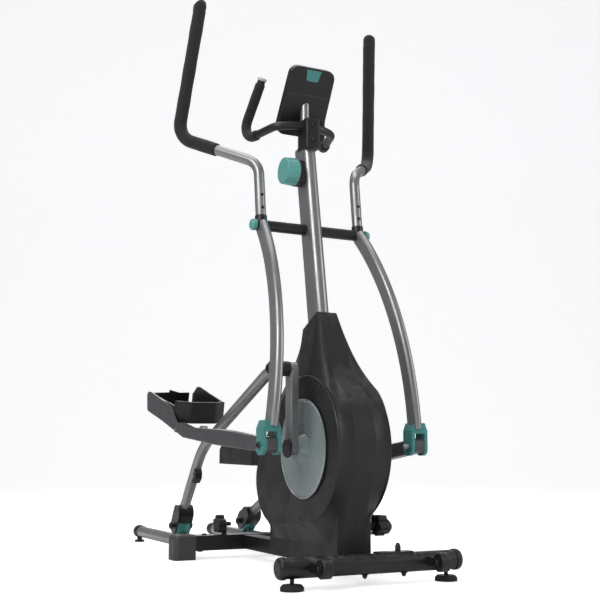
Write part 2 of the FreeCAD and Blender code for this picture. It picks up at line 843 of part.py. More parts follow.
def make_handlebar():
    corners = handlebar_corners()
    bend = value("handlebar_bend")
    path = rounded_path(corners, [bend, bend, 3 * bend, bend, bend])
    radius = value("handlebar_radius")
    keep(feature_of("handlebar", hollow(path, radius, value("tube_wall"))), "handlebar")

    grips = []
    ends = []
    for top, low, front in (corners[:3], corners[:-4:-1]):
        halfway = low + (front - low) * 0.52
        raised = top + (top - low).normalize() * -4
        grip_path = rounded_path([raised, low, halfway], [bend])
        sleeve = round_sweep(grip_path, value("handlebar_grip_radius")).cut(
            round_sweep(rounded_path([top, low, front], [bend]), radius))
        grips.append(feature_of("handlebar_grip", sleeve))
        heading = (top - low).normalize()
        cap = turned("handlebar_end", [
            ("0", "0"), ("handlebar_radius + 2.5", "0"), ("handlebar_radius + 2.5", "9"), ("0", "9"),
        ], "5", "8")
        place(cap, top, turn_to(heading))
        ends.append(cap)
    group(grips, "handlebar_grips")
    group(ends, "handlebar_ends")


def make_handlebar_clamp():
    """Moulded head on the mast that grips the bar and the console post."""
    width = value("mast_width") + 2 * value("clamp_wall")
    base = value("mast_top") - value("clamp_drop")
    front = value("handlebar_back - clamp_reach")
    shape = Part.makeBox(width, value("clamp_depth"), value("clamp_height"), at(-width / 2, front, base))
    upright = [edge for edge in shape.Edges if parallel_to(ALONG_Z)(edge)]
    shape = shape.makeFillet(value("clamp_round"), upright)
    top = [edge for edge in shape.Edges if beyond(ALONG_Z, base + value("clamp_height"))(edge)]
    shape = shape.makeFillet(value("clamp_round") / 2, top)
    corners = handlebar_corners()
    bar = round_sweep(rounded_path(corners[2:5], [3 * value("handlebar_bend")]), value("handlebar_radius"))
    post_foot = at(0, value("console_post_back"), base)
    post = Part.makeCylinder(value("console_post_radius"), 200, post_foot, ALONG_Z)
    mast = mast_bar(0, value("mast_bottom"), value("mast_top"))
    keep(feature_of("handlebar_clamp", shape.cut([bar, post, mast])), "handlebar_clamp")


def make_pivot():
    """Cross sleeve through the mast with a turned-down axle at each end, and its end caps."""
    inner = "(arm_spacing / 2 - arm_hub_width / 2 - fit_gap)"
    outer = "(arm_spacing / 2 + arm_hub_width / 2 + pivot_cap_length - 4)"
    tube = turned("pivot_tube", [
        ("0", "-" + outer), ("pivot_axle_radius", "-" + outer), ("pivot_axle_radius", "-" + inner),
        ("pivot_sleeve_radius", "-" + inner), ("pivot_sleeve_radius", inner),
        ("pivot_axle_radius", inner), ("pivot_axle_radius", outer), ("0", outer),
    ])
    centre = at(0, value("pivot_back"), value("pivot_height"))
    place(tube, centre, turn_to(ALONG_X))
    keep(tube, "pivot_tube")
    caps = []
    for _, side in SIDES:
        cap = turned("pivot_cap", [
            ("0", "pivot_cap_length - 4"), ("pivot_axle_radius", "pivot_cap_length - 4"),
            ("pivot_axle_radius", "0"), ("pivot_sleeve_radius + 1", "0"),
            ("pivot_sleeve_radius + 1", "pivot_cap_length"), ("0", "pivot_cap_length"),
        ], "9", "pivot_cap_length - 1")
        reach = value("arm_spacing / 2 + arm_hub_width / 2 + fit_gap")
        place(cap, centre + V(side * reach, 0, 0), turn_to(ALONG_X * side))
        caps.append(cap)
    group(caps, "pivot_caps")


def make_resistance_knob():
    """Dial on the user's right of the mast, on a moulded base that holds its cable drum."""
    lean = tilt(-value("mast_lean"))
    base = new_body("knob_base")
    pad(base, polygon(base, "YZ_Plane", [
        ("-22", "-36"), ("22", "-36"), ("22", "36"), ("-22", "36"),
    ]), "knob_base_thickness", False)
    soften(base, "Fillet", "10", parallel_to(ALONG_X))
    face = value("mast_width") / 2
    start = at(-face - value("knob_base_thickness"), value("knob_back + 8"), value("knob_height"))
    place(base, start, lean)
    keep(base, "knob_base")

    knob = turned("resistance_knob", [
        ("0", "0"), ("knob_radius - 3", "0"), ("knob_radius", "6"), ("knob_radius - 2", "knob_thickness"),
        ("0", "knob_thickness"),
    ], "4", "knob_thickness - 1")
    notch = circle(knob, "XY_Plane", "knob_radius + 3", "0", "5")
    cut = pocket(knob, notch, "knob_thickness * 2")
    doc.recompute()
    ring = knob.newObject("PartDesign::PolarPattern", "knob_flutes")
    ring.Originals = [cut]
    ring.Angle = 360
    ring.Occurrences = 16
    z_axis = [item for item in knob.Origin.OriginFeatures if item.Role == "Z_Axis"][0]
    ring.Axis = (z_axis, [""])
    knob.Tip = ring
    place(knob, start + V(-value("fit_gap"), -8, 0), turn_to(-ALONG_X))
    keep(knob, "resistance_knob")


# ---------------------------------------------------------------- crank set


def make_crank_set():
    axle_centre = at(0, 0, value("crank_height"))
    outside = "crank_arm_outside"
    axle = turned("crank_axle", [
        ("0", "-" + outside), ("crank_axle_radius", "-" + outside),
        ("crank_axle_radius", outside), ("0", outside),
    ])
    place(axle, axle_centre, turn_to(ALONG_X))
    keep(axle, "crank_axle")

    pulley = turned("drive_pulley", [
        ("crank_axle_radius", "0"), ("drive_pulley_radius", "0"), ("drive_pulley_radius", "pulley_width"),
        ("drive_pulley_radius - 12", "pulley_width"), ("drive_pulley_radius - 12", "pulley_width - 4"),
        ("30", "pulley_width - 4"), ("30", "pulley_width + 6"), ("crank_axle_radius", "pulley_width + 6"),
    ])
    place(pulley, axle_centre + V(value("pulley_inside"), 0, 0), turn_to(ALONG_X))
    keep(pulley, "drive_pulley")

    caps = []
    discs = []
    for name, side in SIDES:
        arm = new_body(name + "_crank_arm")
        pad(arm, slot(arm, "XZ_Plane", ("0", "0"), ("0", "crank_radius"), "crank_arm_width / 2"),
            "crank_arm_thickness")
        soften(arm, "Chamfer", "3", lambda edge: all(
            abs(vertex.Y - value("crank_arm_thickness") / 2) < 1e-4 for vertex in edge.Vertexes))
        for height, radius in (("0", "crank_axle_radius"), ("crank_radius", "crank_axle_radius - 2")):
            pocket(arm, circle(arm, "XZ_Plane", "0", height, radius), "crank_arm_thickness * 2")
        upright = 0 if name == "right" else 180
        spin = FreeCAD.Rotation(ALONG_X, upright)
        face_out = FreeCAD.Rotation(ALONG_Z, -90 * side)
        middle = side * value("crank_arm_outside - crank_arm_thickness / 2")
        place(arm, axle_centre + V(middle, 0, 0), spin.multiply(face_out))
        keep(arm, name + "_crank_arm")
        cap = turned("crank_cap", [
            ("0", "0"), ("crank_cap_radius", "0"), ("crank_cap_radius", "crank_cap_thickness"),
            ("0", "crank_cap_thickness"),
        ], "3", "crank_cap_thickness")
        place(cap, axle_centre + V(side * value(outside), 0, 0), turn_to(ALONG_X * side))
        caps.append(cap)
        disc = turned("crank_disc", [
            ("crank_axle_radius", "0"), ("crank_disc_radius - 6", "0"), ("crank_disc_radius", "1"),
            ("crank_disc_radius", "crank_disc_thickness"), ("crank_disc_radius - 5", "crank_disc_thickness"),
            ("crank_disc_radius - 8", "crank_disc_thickness - 1.5"), ("40", "crank_disc_thickness - 1.5"),
            ("30", "crank_arm_outside - crank_arm_thickness - crank_disc_inside"),
            ("crank_axle_radius", "crank_arm_outside - crank_arm_thickness - crank_disc_inside"),
        ])
        place(disc, axle_centre + V(side * value("crank_disc_inside"), 0, 0), turn_to(ALONG_X * side))
        discs.append(disc)
    group(caps, "crank_caps")
    group(discs, "crank_discs")


def belt_loop(first, first_radius, second, second_radius, width):
    """A flat belt's solid outline round two pulleys, as one closed face pushed across."""
    along = V(0, second.y - first.y, second.z - first.z)
    gap = along.Length
    along = along.normalize()
    aside = V(0, -along.z, along.y)
    lean = math.asin((first_radius - second_radius) / gap)
    tangents = []
    for turn in (1, -1):
        tangents.append(along * math.sin(lean) + aside * (turn * math.cos(lean)))
    upper, lower = tangents
    edges = [
        Part.LineSegment(first + upper * first_radius, second + upper * second_radius).toShape(),
        Part.Arc(second + upper * second_radius, second + along * second_radius,
                 second + lower * second_radius).toShape(),
        Part.LineSegment(second + lower * second_radius, first + lower * first_radius).toShape(),
        Part.Arc(first + lower * first_radius, first - along * first_radius,
                 first + upper * first_radius).toShape(),
    ]
    return Part.Face(Part.Wire(edges)).extrude(ALONG_X * width)


def make_drive():
    """Belt, flywheel and the magnet block that slows it, all inside the housing."""
    inside = value("pulley_inside")
    margin = 1
    axle = at(inside + margin, 0, value("crank_height"))
    wheel = at(inside + margin, value("flywheel_back"), value("flywheel_height"))
    width = value("pulley_width") - 2 * margin
    gap = value("fit_gap")
    thick = value("belt_thickness") + gap
    big = value("drive_pulley_radius")
    small = value("flywheel_pulley_radius")
    outer = belt_loop(axle, big + thick, wheel, small + thick, width)
    inner = belt_loop(axle, big + gap, wheel, small + gap, width)
    keep(feature_of("drive_belt", outer.cut(inner)), "drive_belt")

    half = "flywheel_thickness / 2"
    bore = "flywheel_axle_radius + running_gap"
    flywheel = turned("flywheel", [
        (bore, "-" + half), ("flywheel_radius", "-" + half), ("flywheel_radius", half),
        ("flywheel_pulley_radius - 8", half), ("flywheel_pulley_radius - 8", "pulley_inside"),
        ("flywheel_pulley_radius", "pulley_inside"), ("flywheel_pulley_radius", "pulley_inside + pulley_width"),
        (bore, "pulley_inside + pulley_width"),
    ])
    centre = at(0, value("flywheel_back"), value("flywheel_height"))
    place(flywheel, centre, turn_to(ALONG_X))
    keep(flywheel, "flywheel")

    brake = new_body("magnet_brake")
    wide = "(mast_width / 2 + 2)"
    slot_half = "(flywheel_thickness / 2 + 2)"
    pad(brake, polygon(brake, "XZ_Plane", [
        ("-" + wide, "-18"), ("-" + slot_half, "-18"), ("-" + slot_half, "3"), (slot_half, "3"),
        (slot_half, "-18"), (wide, "-18"), (wide, "16"), ("-" + wide, "16"),
    ]), "44")
    place(brake, centre + V(0, 0, value("flywheel_radius")))
    keep(brake, "magnet_brake")


# ---------------------------------------------------------------- swing arms


def hanger_place(name):
    """Where one swing arm's own frame stands: its origin on the cross axle."""
    side = dict(SIDES)[name]
    turn = LINKS[name]["arm_angle"] - value("arm_rest_angle")
    point = at(side * value("arm_spacing") / 2, value("pivot_back"), value("pivot_height"))
    return FreeCAD.Placement(point, tilt(-turn))


def arm_fork_point(side):
    """The fork pin's place in the swing arm's own frame."""
    angle = math.radians(value("arm_rest_angle"))
    length = value("arm_length")
    spread = value("fork_spacing - arm_spacing") / 2
    return V(side * spread, -length * math.sin(angle), -length * math.cos(angle))


def lower_arm_bar(side, inset):
    """The bowed flat-oval tube from the hub to just above the fork pin."""
    fork = arm_fork_point(side)
    span = V(0, fork.y, fork.z)
    heading = V(span).normalize()
    forward = V(0, heading.z, -heading.y)
    bow = value("arm_bow")
    radius = (span.Length ** 2 / 4 + bow ** 2) / (2 * bow)
    centre = span * 0.5 - forward * (radius - bow)
    half_angle = math.asin(span.Length / 2 / radius)
    hub_bite = 6
    fork_socket = 46
    begin = -half_angle + hub_bite / radius
    end = half_angle - fork_socket / radius

    def on_arc(angle):
        return centre + forward * (radius * math.cos(angle)) + heading * (radius * math.sin(angle))

    path = Part.Wire(Part.Arc(on_arc(begin), on_arc(0), on_arc(end)).toShape())
    section = flat_oval(value("arm_tube_width") - 2 * inset, value("arm_tube_depth") - 2 * inset)
    start_heading = heading * math.cos(begin) - forward * math.sin(begin)
    pitch = math.degrees(math.atan2(-start_heading.y, start_heading.z))
    section.Placement = FreeCAD.Placement(on_arc(begin), tilt(pitch))
    bar = path.makePipeShell([section], True, False)
    lean = math.degrees(math.atan2(side * value("fork_spacing - arm_spacing") / 2, -fork.z))
    bar.rotate(V(0, 0, 0), ALONG_Y, -lean)
    return bar


def hub_form(extra):
    radius = value("pivot_sleeve_radius") + extra
    width = value("arm_hub_width")
    return Part.makeCylinder(radius, width, V(-width / 2, 0, 0), ALONG_X)


def handle_corners(side):
    """Corner points of the moving handle in the swing arm's own frame."""
    spread = (0, 0, 170, 134)
    back = (5, 22, 230, 151)
    up = (27.3, 185, 300, 692)
    return [V(side * across, rear, height) for across, rear, height in zip(spread, back, up)]


def make_swing_arm(name, side):
    placement = hanger_place(name)
    lower = lower_arm_bar(side, 0).cut(lower_arm_bar(side, value("tube_wall"))).cut(hub_form(0))
    lower = max(lower.Solids, key=lambda solid: solid.Volume)
    arm = feature_of(name + "_lower_arm", lower)
    arm.Placement = placement
    keep(arm, name + "_lower_arm")

    corners = handle_corners(side)
    rise = (corners[1] - corners[0]).normalize()
    foot = corners[0] - rise * value("handle_collar_height")
    stub_radius = value("handle_radius - tube_wall - running_gap")
    collar = Part.makeCylinder(value("handle_radius") + 2, value("handle_collar_height") - 0.3, foot, rise)
    stub = Part.makeCylinder(stub_radius, value("handle_stub_length"), foot, rise)
    bore = Part.makeCylinder(value("pivot_axle_radius + running_gap"), 60, V(-30, 0, 0), ALONG_X)
    shape = hub_form(0).fuse([collar, stub]).cut(bore)
    sole = Part.makeBox(120, 80, 60, V(-60, -40, -60 - value("pivot_sleeve_radius")))
    hub = feature_of(name + "_arm_hub", shape.cut(sole))
    hub.Placement = placement
    keep(hub, name + "_arm_hub")

    fork_point = arm_fork_point(side)
    pin_reach = value("foot_rail_width / 2 + fit_gap + fork_prong") + 3
    body = new_body(name + "_fork")
    clear = "(foot_rail_width / 2 + fit_gap)"
    outside = "(foot_rail_width / 2 + fit_gap + fork_prong)"
    pad(body, polygon(body, "XZ_Plane", [
        ("-" + outside, "-24"), ("-" + clear, "-24"), ("-" + clear, "34"), (clear, "34"), (clear, "-24"),
        (outside, "-24"), (outside, "42"), (outside + " - 8", "62"), ("-" + outside + " + 8", "62"),
        ("-" + outside, "42"),
    ]), "fork_depth")
    soften(body, "Fillet", "18", lambda edge: parallel_to(ALONG_X)(edge) and edge.Vertexes[0].Z < -20)
    doc.recompute()
    shape = body.Shape.copy()
    pin = Part.makeCylinder(value("fork_pin_radius"), 2 * pin_reach, V(-pin_reach, 0, 0), ALONG_X)
    shape = shape.fuse(pin)
    shape.translate(fork_point)
    shape = shape.cut(lower_arm_bar(side, 0))
    fork = feature_of(name + "_arm_fork", shape)
    fork.Placement = placement
    keep(fork, name + "_arm_fork")

    bend = value("handle_bend")
    path = rounded_path(corners, [bend, bend])
    tube = hollow(path, value("handle_radius"), value("tube_wall"))
    for step in range(2):
        hole_centre = corners[0] + rise * value("handle_hole_start + %d * handle_hole_step" % step)
        hole = Part.makeCylinder(value("handle_hole_radius"), 30, hole_centre - ALONG_Y * 30, ALONG_Y)
        tube = tube.cut(hole)
    handle = feature_of(name + "_upper_arm", tube)
    handle.Placement = placement
    keep(handle, name + "_upper_arm")

    halfway = corners[1] + (corners[2] - corners[1]) * 0.5
    top = corners[3] + (corners[3] - corners[2]).normalize() * 4
    grip = round_sweep(rounded_path([halfway, corners[2], top], [bend]), value("handle_grip_radius"))
    grip = grip.cut(round_sweep(path, value("handle_radius")))
    foam = feature_of(name + "_foam_grip", grip)
    foam.Placement = placement
    keep(foam, name + "_foam_grip")


# ---------------------------------------------------------------- foot rails and pedals


def foot_place(name):
    """Where one foot rail's own frame stands: its origin on the fork pin."""
    side = dict(SIDES)[name]
    turn = LINKS[name]["foot_angle"] - MODELLED_FOOT_ANGLE
    back, height = LINKS[name]["fork"]
    return FreeCAD.Placement(at(side * value("fork_spacing") / 2, back, height), tilt(turn))


# The tray's own frame: origin on its floor, its slope and place in the foot rail's frame, and the room
# that the rail leaves for it: from front to back, above its shelf.
PEDAL_SLOPE = 12
PEDAL_ORIGIN = V(0, 797, 101)
PEDAL_FRONT = -150
PEDAL_BACK = 300
PEDAL_SHELF = -0.3
PEDAL_CLEAR = 200


def pedal_place():
    return FreeCAD.Placement(PEDAL_ORIGIN, tilt(PEDAL_SLOPE))


def pedal_point(across, along, height):
    """A point of the tray's own frame in the foot rail's frame."""
    return pedal_place().multVec(V(across, along, height))


def make_foot_rail(name, side):
    """A deep bent rail, low at the front fork and flaring up into a side guard by the pedal."""
    body = new_body(name + "_foot_rail")
    pad(body, polygon(body, "YZ_Plane", [
        ("-24", "-20"), ("26", "-16"), ("330", "4"), ("599", "29"), ("800", "85"), ("956", "124"),
        ("962", "190"), ("918", "184"), ("716", "128"), ("662", "78"), ("560", "58"), ("290", "45"),
        ("26", "22"), ("-24", "20"),
    ]), "foot_rail_width")
    soften(body, "Fillet", "14", parallel_to(ALONG_X))
    soften(body, "Chamfer", "2.5", lambda edge: all(
        abs(abs(vertex.X) - value("foot_rail_width") / 2) < 1e-4 for vertex in edge.Vertexes))
    tray_face = value("foot_rail_width") / 2 - value("guard_thickness")
    middle = side * (tray_face - value("foot_rail_width")) / 2
    room = polygon(body, "YZ_Plane", [
        ("%.3f" % point.y, "%.3f" % point.z) for point in
        (pedal_point(0, PEDAL_FRONT, PEDAL_SHELF), pedal_point(0, PEDAL_BACK, PEDAL_SHELF),
         pedal_point(0, PEDAL_BACK, PEDAL_CLEAR), pedal_point(0, PEDAL_FRONT, PEDAL_CLEAR))
    ])
    room.AttachmentOffset = FreeCAD.Placement(V(0, 0, middle), FreeCAD.Rotation())
    pocket(body, room, "foot_rail_width * 1.5 - guard_thickness")
    pocket(body, circle(body, "YZ_Plane", "0", "0", "fork_pin_radius + running_gap"), "foot_rail_width * 2")
    pivot_angle = math.radians(MODELLED_FOOT_ANGLE)
    hole = circle(body, "YZ_Plane", "foot_link * %.6f" % math.cos(pivot_angle),
                  "foot_link * %.6f" % math.sin(pivot_angle), "link_pin_radius + running_gap")
    pocket(body, hole, "foot_rail_width * 2")
    body.Placement = foot_place(name)
    keep(body, name + "_foot_rail")


def make_pedal(name, side):
    """A deep moulded foot tray, carried on the rail's shelf inside its side guard."""
    body = new_body(name + "_pedal")
    near = side * (value("foot_rail_width") / 2 - value("guard_thickness") - value("fit_gap"))
    across = value("fork_spacing") / 2 - value("pedal_inside") + side * near
    wall = value("pedal_wall")

    def point(share, along, inset_across, inset_along):
        sideways = near - side * (across * share + inset_across * wall)
        return ("%.3f" % sideways, "%.3f" % (along + inset_along * wall))

    toe, bulge, heel, inner_heel = -104, -136, 172, 226
    corners = [(0, toe, 1, 1), (0.25, bulge, 0, 1), (0.75, bulge + 6, 0, 1), (1, toe + 20, -1, 1),
               (1, inner_heel, -1, -1), (0, heel, 1, -1)]
    edge = polygon(body, "XY_Plane", [point(share, along, 0, 0) for share, along, _, _ in corners])
    pad(body, edge, "120", False)
    soften(body, "Fillet", "pedal_corner", parallel_to(ALONG_Z))
    room = polygon(body, "XY_Plane", [point(*corner) for corner in corners])
    room.AttachmentOffset = FreeCAD.Placement(V(0, 0, value("pedal_floor")), FreeCAD.Rotation())
    pocket(body, room, "200", False, True)
    pocket(body, polygon(body, "YZ_Plane", [
        ("-200", "70"), ("-104", "66"), ("-75", "60"), ("150", "77"), ("172", "74"), ("205", "47"),
        ("300", "46"), ("300", "300"), ("-200", "300"),
    ]), "1000")
    outer_trim = polygon(body, "YZ_Plane", [("-96", "49"), ("300", "49"), ("300", "200"), ("-96", "200")])
    outer_trim.AttachmentOffset = FreeCAD.Placement(V(0, 0, near), FreeCAD.Rotation())
    pocket(body, outer_trim, "%.3f" % (across * 0.9))
    body.Placement = foot_place(name).multiply(pedal_place())
    keep(body, name + "_pedal")


# ---------------------------------------------------------------- roller arms


def roller_place(name):
    """Where one roller arm's own frame stands: origin on the crank pin, Y towards the roller."""
    side = dict(SIDES)[name]
    back, height = LINKS[name]["crank_pin"]
    return FreeCAD.Placement(at(side * value("rail_spacing") / 2, back, height), tilt(LINKS[name]["slope"]))


# Side outline of the moulded hook under the arm, from its own front upper corner: along, up.
HOOK_OUTLINE = [(0, 30), (0, 8), (12, -6), (34, -10), (46, -4), (42, 6), (24, 6), (20, 14), (46, 18), (66, 8),
                (78, 14), (88, 40)]


def make_roller_arm(name, side):
    """A bent tube from the crank pin to the roller, with its link lug, end hub, bracket, hook and roller."""
    placement = roller_place(name)
    link = value("roller_link")
    radius = value("roller_tube_radius")
    corners = [V(0, 0, 0), V(0, 75, 38), V(0, 600, 118), V(0, link - 42, 28)]
    path = rounded_path(corners, [90, 250])
    solid = round_sweep(path, radius)
    along = value("link_pivot_along")
    rise = value("link_pivot_rise")
    lug_radius = 14
    lug = Part.makeCylinder(lug_radius, 20, V(-10, along, rise), ALONG_X)
    web = Part.makeBox(20, 2 * lug_radius, rise - 105, V(-10, along - lug_radius, 105))
    reach = value("fork_spacing - rail_spacing") / 2 + value("foot_rail_width") / 2
    pin = Part.makeCylinder(value("link_pin_radius"), reach + 4, V(0, along, rise), ALONG_X * side)
    hub = Part.makeCylinder(value("pin_hub_radius"), 120, V(-60, 0, 0), ALONG_X)
    shape = solid.fuse([lug, web, pin]).cut(round_sweep(path, radius - value("tube_wall"))).cut(hub)
    shape = max(shape.Solids, key=lambda piece: piece.Volume)
    arm = feature_of(name + "_roller_arm", shape)
    arm.Placement = placement
    keep(arm, name + "_roller_arm")

    clip = new_body(name + "_hook_clip")
    pad(clip, polygon(clip, "YZ_Plane", [
        ("hook_along + %d" % along_clip, "hook_rise + %d" % up_clip) for along_clip, up_clip in HOOK_OUTLINE
    ]), "hook_width")
    doc.recompute()
    clip_shape = max(clip.Shape.cut(solid).Solids, key=lambda piece: piece.Volume)
    hook = feature_of(name + "_hook", clip_shape)
    hook.Placement = placement

    inside = value("crank_arm_outside") + 0.8 - value("rail_spacing") / 2
    outside = value("pin_hub_outside") - value("rail_spacing") / 2
    hub = turned(name + "_pin_hub", [
        ("0", "%.3f" % inside), ("pin_hub_radius", "%.3f" % inside), ("pin_hub_radius", "%.3f" % outside),
        ("0", "%.3f" % outside),
    ], "4", "%.3f" % (outside - 0.5))
    hub.Placement = placement.multiply(FreeCAD.Placement(V(0, 0, 0), turn_to(ALONG_X * side)))
    keep(hub, name + "_pin_hub")

    half = "roller_width / 2 + fit_gap"
    body = new_body(name + "_roller_fork")
    pad(body, slot(body, "YZ_Plane", ("roller_link - bracket_reach", "bracket_rise"), ("roller_link", "0"),
                   "bracket_round"), "2 * (%s + 5)" % half)
    pocket(body, circle(body, "YZ_Plane", "roller_link", "0", "roller_radius + 4"), "2 * (%s)" % half)
    doc.recompute()
    reach = value(half) + 11
    axle = Part.makeCylinder(value("roller_axle_radius"), 2 * reach, V(-reach, link, 0), ALONG_X)
    shape = body.Shape.fuse(axle).cut(solid)
    shape = max(shape.Solids, key=lambda piece: piece.Volume)
    fork = feature_of(name + "_roller_fork_cut", shape)
    fork.Placement = placement
    group([fork, hook], name + "_roller_bracket")

    roller = roller_solid(name)
    roller.Placement = placement.multiply(FreeCAD.Placement(V(0, link, 0), turn_to(ALONG_X)))
    keep(roller, name + "_roller")


def roller_solid(name):
    """A wheel whose tread is hollowed to sit astride the rail."""
    half = value("roller_width") / 2
    bore = value("roller_axle_radius + running_gap")
    outer = value("roller_radius")
    throat = value("roller_groove_radius")
    groove = value("rail_radius + fit_gap")
    wheel = Part.makeCylinder(outer, 2 * half, V(0, 0, -half), ALONG_Z)
    ring = Part.makeTorus(throat + groove, groove, V(0, 0, 0), ALONG_Z)
    hole = Part.makeCylinder(bore, 2 * half, V(0, 0, -half), ALONG_Z)
    return feature_of(name + "_roller", wheel.cut([ring, hole]))


# ---------------------------------------------------------------- housing


def curved(points):
    curve = Part.BSplineCurve()
    curve.interpolate(points)
    return curve.toShape()


def outline(x, rear, front, scale):
    """A closed side outline: rear curve down, flat sole, front curve up, flat top."""
    def point(pair):
        back = HOUSING_MIDDLE[0] + (pair[0] - HOUSING_MIDDLE[0]) * scale
        height = HOUSING_MIDDLE[1] + (pair[1] - HOUSING_MIDDLE[1]) * scale
        return at(x, back, height)

    rear_points = [point(pair) for pair in rear]
    front_points = [point(pair) for pair in front]
    return Part.Wire([
        curved(rear_points),
        Part.LineSegment(rear_points[-1], front_points[0]).toShape(),
        curved(front_points),
        Part.LineSegment(front_points[-1], rear_points[0]).toShape(),
    ])


# Side-view place (back, height) that the housing's inner form shrinks towards.
HOUSING_MIDDLE = (60, 330)

# Side-view place (back, height) of the housing's hand knob.
LOCK_KNOB = (-110, 134)

# Side-view corner points (back, height) of the housing's middle and of its flat side.
MIDDLE_REAR = [(99, 655), (122, 597), (168, 547), (220, 498), (285, 440), (335, 360), (346, 270),
               (325, 180), (300, 110), (290, 50)]
MIDDLE_FRONT = [(-130, 45), (-132, 110), (-150, 190), (-185, 280), (-188, 370), (-150, 455), (-80, 520),
                (-45, 582), (-18, 640), (14, 694)]
SIDE_REAR = [(55, 505), (100, 486), (148, 452), (190, 412), (240, 360), (292, 308), (318, 255),
             (306, 190), (262, 140), (196, 124)]
SIDE_FRONT = [(-40, 138), (-90, 160), (-140, 200), (-180, 265), (-192, 340), (-172, 420), (-128, 476),
              (-92, 496), (-52, 510), (-20, 516)]


def housing_form(side, inset):
    """One half of the housing as a solid, shrunk towards its middle by an inset."""
    scale = 1 - inset / 120
    neck = value("housing_neck_half_width") - inset
    flank = value("housing_half_width") - inset
    start = outline(0, MIDDLE_REAR, MIDDLE_FRONT, scale)
    core = Part.Face(start).extrude(ALONG_X * (side * neck))
    shoulder = outline(side * neck, MIDDLE_REAR, MIDDLE_FRONT, scale)
    flat = outline(side * flank, SIDE_REAR, SIDE_FRONT, scale)
    cheek = Part.makeLoft([shoulder, flat], True, True)
    base_width = 48 - inset
    base = Part.makeBox(base_width, 400 - 2 * inset, 110 - inset, at(0, -128 + inset, 48))
    if side < 0:
        base.translate(V(-base_width, 0, 0))
    return core.fuse([cheek, base])


def make_housing():
    wall = value("housing_wall")
    axle_height = value("crank_height")
    spine = Part.makeBox(value("spine_width + 2"), 1200, 60, at(-value("spine_width / 2 + 1"), -500, 10))
    mast = mast_bar(0.4, 500, 760)
    for name, side in SIDES:
        outer = housing_form(side, 0)
        flank = value("housing_half_width")
        cover = Part.makeCylinder(value("cover_radius"), value("cover_step"),
                                  at(side * flank, 0, axle_height), ALONG_X * side)
        rim = [edge for edge in cover.Edges if abs(edge.Vertexes[0].X) > flank + value("cover_step") - 0.01]
        cover = cover.makeChamfer(2.5, [edge for edge in rim if isinstance(edge.Curve, Part.Circle)])
        outer = outer.fuse(cover)
        hole = Part.makeCylinder(value("axle_hole_radius"), 200, at(0, 0, axle_height), ALONG_X * side)
        cuts = [housing_form(side, wall), hole, spine, mast]
        if name == "left":
            cuts.append(Part.makeCylinder(value("knob_stem_radius + 1"), 100, at(20, *LOCK_KNOB), ALONG_X))
        shell = outer.cut(cuts)
        shell = max(shell.Solids, key=lambda piece: piece.Volume)
        keep(feature_of(name + "_housing", shell), name + "_housing")


def make_hand_knobs():
    """Five-lobed hand knobs: one low on the housing's left side, one on the rear beam."""
    housing_knob = V(value("housing_half_width + fit_gap"), CRANK_Y + LOCK_KNOB[0], LOCK_KNOB[1])
    beam_knob = at(-value("beam_lug_side") - value("beam_lug_thickness") - value("fit_gap"),
                   value("rear_beam_back"), value("rear_beam_top + beam_lug_height"))
    for label, seat, outward in (("lock_knob", housing_knob, ALONG_X), ("rear_lock_knob", beam_knob, -ALONG_X)):
        body = new_body(label)
        pad(body, circle(body, "XY_Plane", "0", "0", "lock_knob_radius * 0.72"), "lock_knob_thickness", False)
        stem = pad(body, circle(body, "XY_Plane", "0", "0", "knob_stem_radius"), "knob_stem_length", False)
        stem.Reversed = True
        lobe = pad(body, circle(body, "XY_Plane", "lock_knob_radius * 0.65", "0", "lock_knob_radius * 0.35"),
                   "lock_knob_thickness", False)
        doc.recompute()
        ring = body.newObject("PartDesign::PolarPattern", label + "_lobes")
        ring.Originals = [lobe]
        z_axis = [item for item in body.Origin.OriginFeatures if item.Role == "Z_Axis"][0]
        ring.Axis = (z_axis, [""])
        ring.Angle = 360
        ring.Occurrences = 5
        body.Tip = ring
        place(body, seat, turn_to(outward))
        keep(body, label)


# ---------------------------------------------------------------- build and write


def build():
    make_front_bar()
    make_front_bar_caps()
    make_base_frame()
    make_rear_beam()
    make_rear_beam_feet()
    make_rails()
    make_transport_wheels()
    make_level_feet()
    make_mast()
    make_console_post()
    make_console()
    make_handlebar()
    make_handlebar_clamp()
    make_pivot()
    make_resistance_knob()
    make_crank_set()
    make_drive()
    for name, side in SIDES:
        make_swing_arm(name, side)
        make_foot_rail(name, side)
        make_pedal(name, side)
        make_roller_arm(name, side)
    make_housing()
    make_hand_knobs()
    doc.recompute()


def check_and_write():
    """Refuses to write anything if a feature failed or a shape is not sound."""
    for thing in doc.Objects:
        if "Invalid" in thing.State or "Error" in thing.State:
            raise RuntimeError("feature failed: " + thing.Name)
    for thing in nodes:
        if thing.Shape.isNull() or not thing.Shape.isValid() or not thing.Shape.Solids:
            raise RuntimeError("bad shape: " + thing.Label)
    os.makedirs("parts", exist_ok=True)
    for thing in nodes:
        thing.Shape.exportStep(os.path.join("parts", thing.Label + ".step"))


build()
check_and_write()
for thing in nodes:
    print("%-24s %3d solids %9.1f cm3" % (thing.Label, len(thing.Shape.Solids), thing.Shape.Volume / 1000))
print(len(nodes), "nodes")
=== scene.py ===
# %% [markdown]
# # An elliptical trainer, finished for a studio picture
# A home elliptical trainer is steel tube, moulded plastic and foam. The solid shapes come packed, already
# in place and split by how they move. This notebook gives every one its finish and adds the small things
# that a solid model leaves out: foam sleeves, bolts, weld beads, tread ribs, seams and display marks.

# %% Load the frame
import json
import math

import bmesh
import bpy
import numpy as np
from mathutils import Matrix, Vector, noise


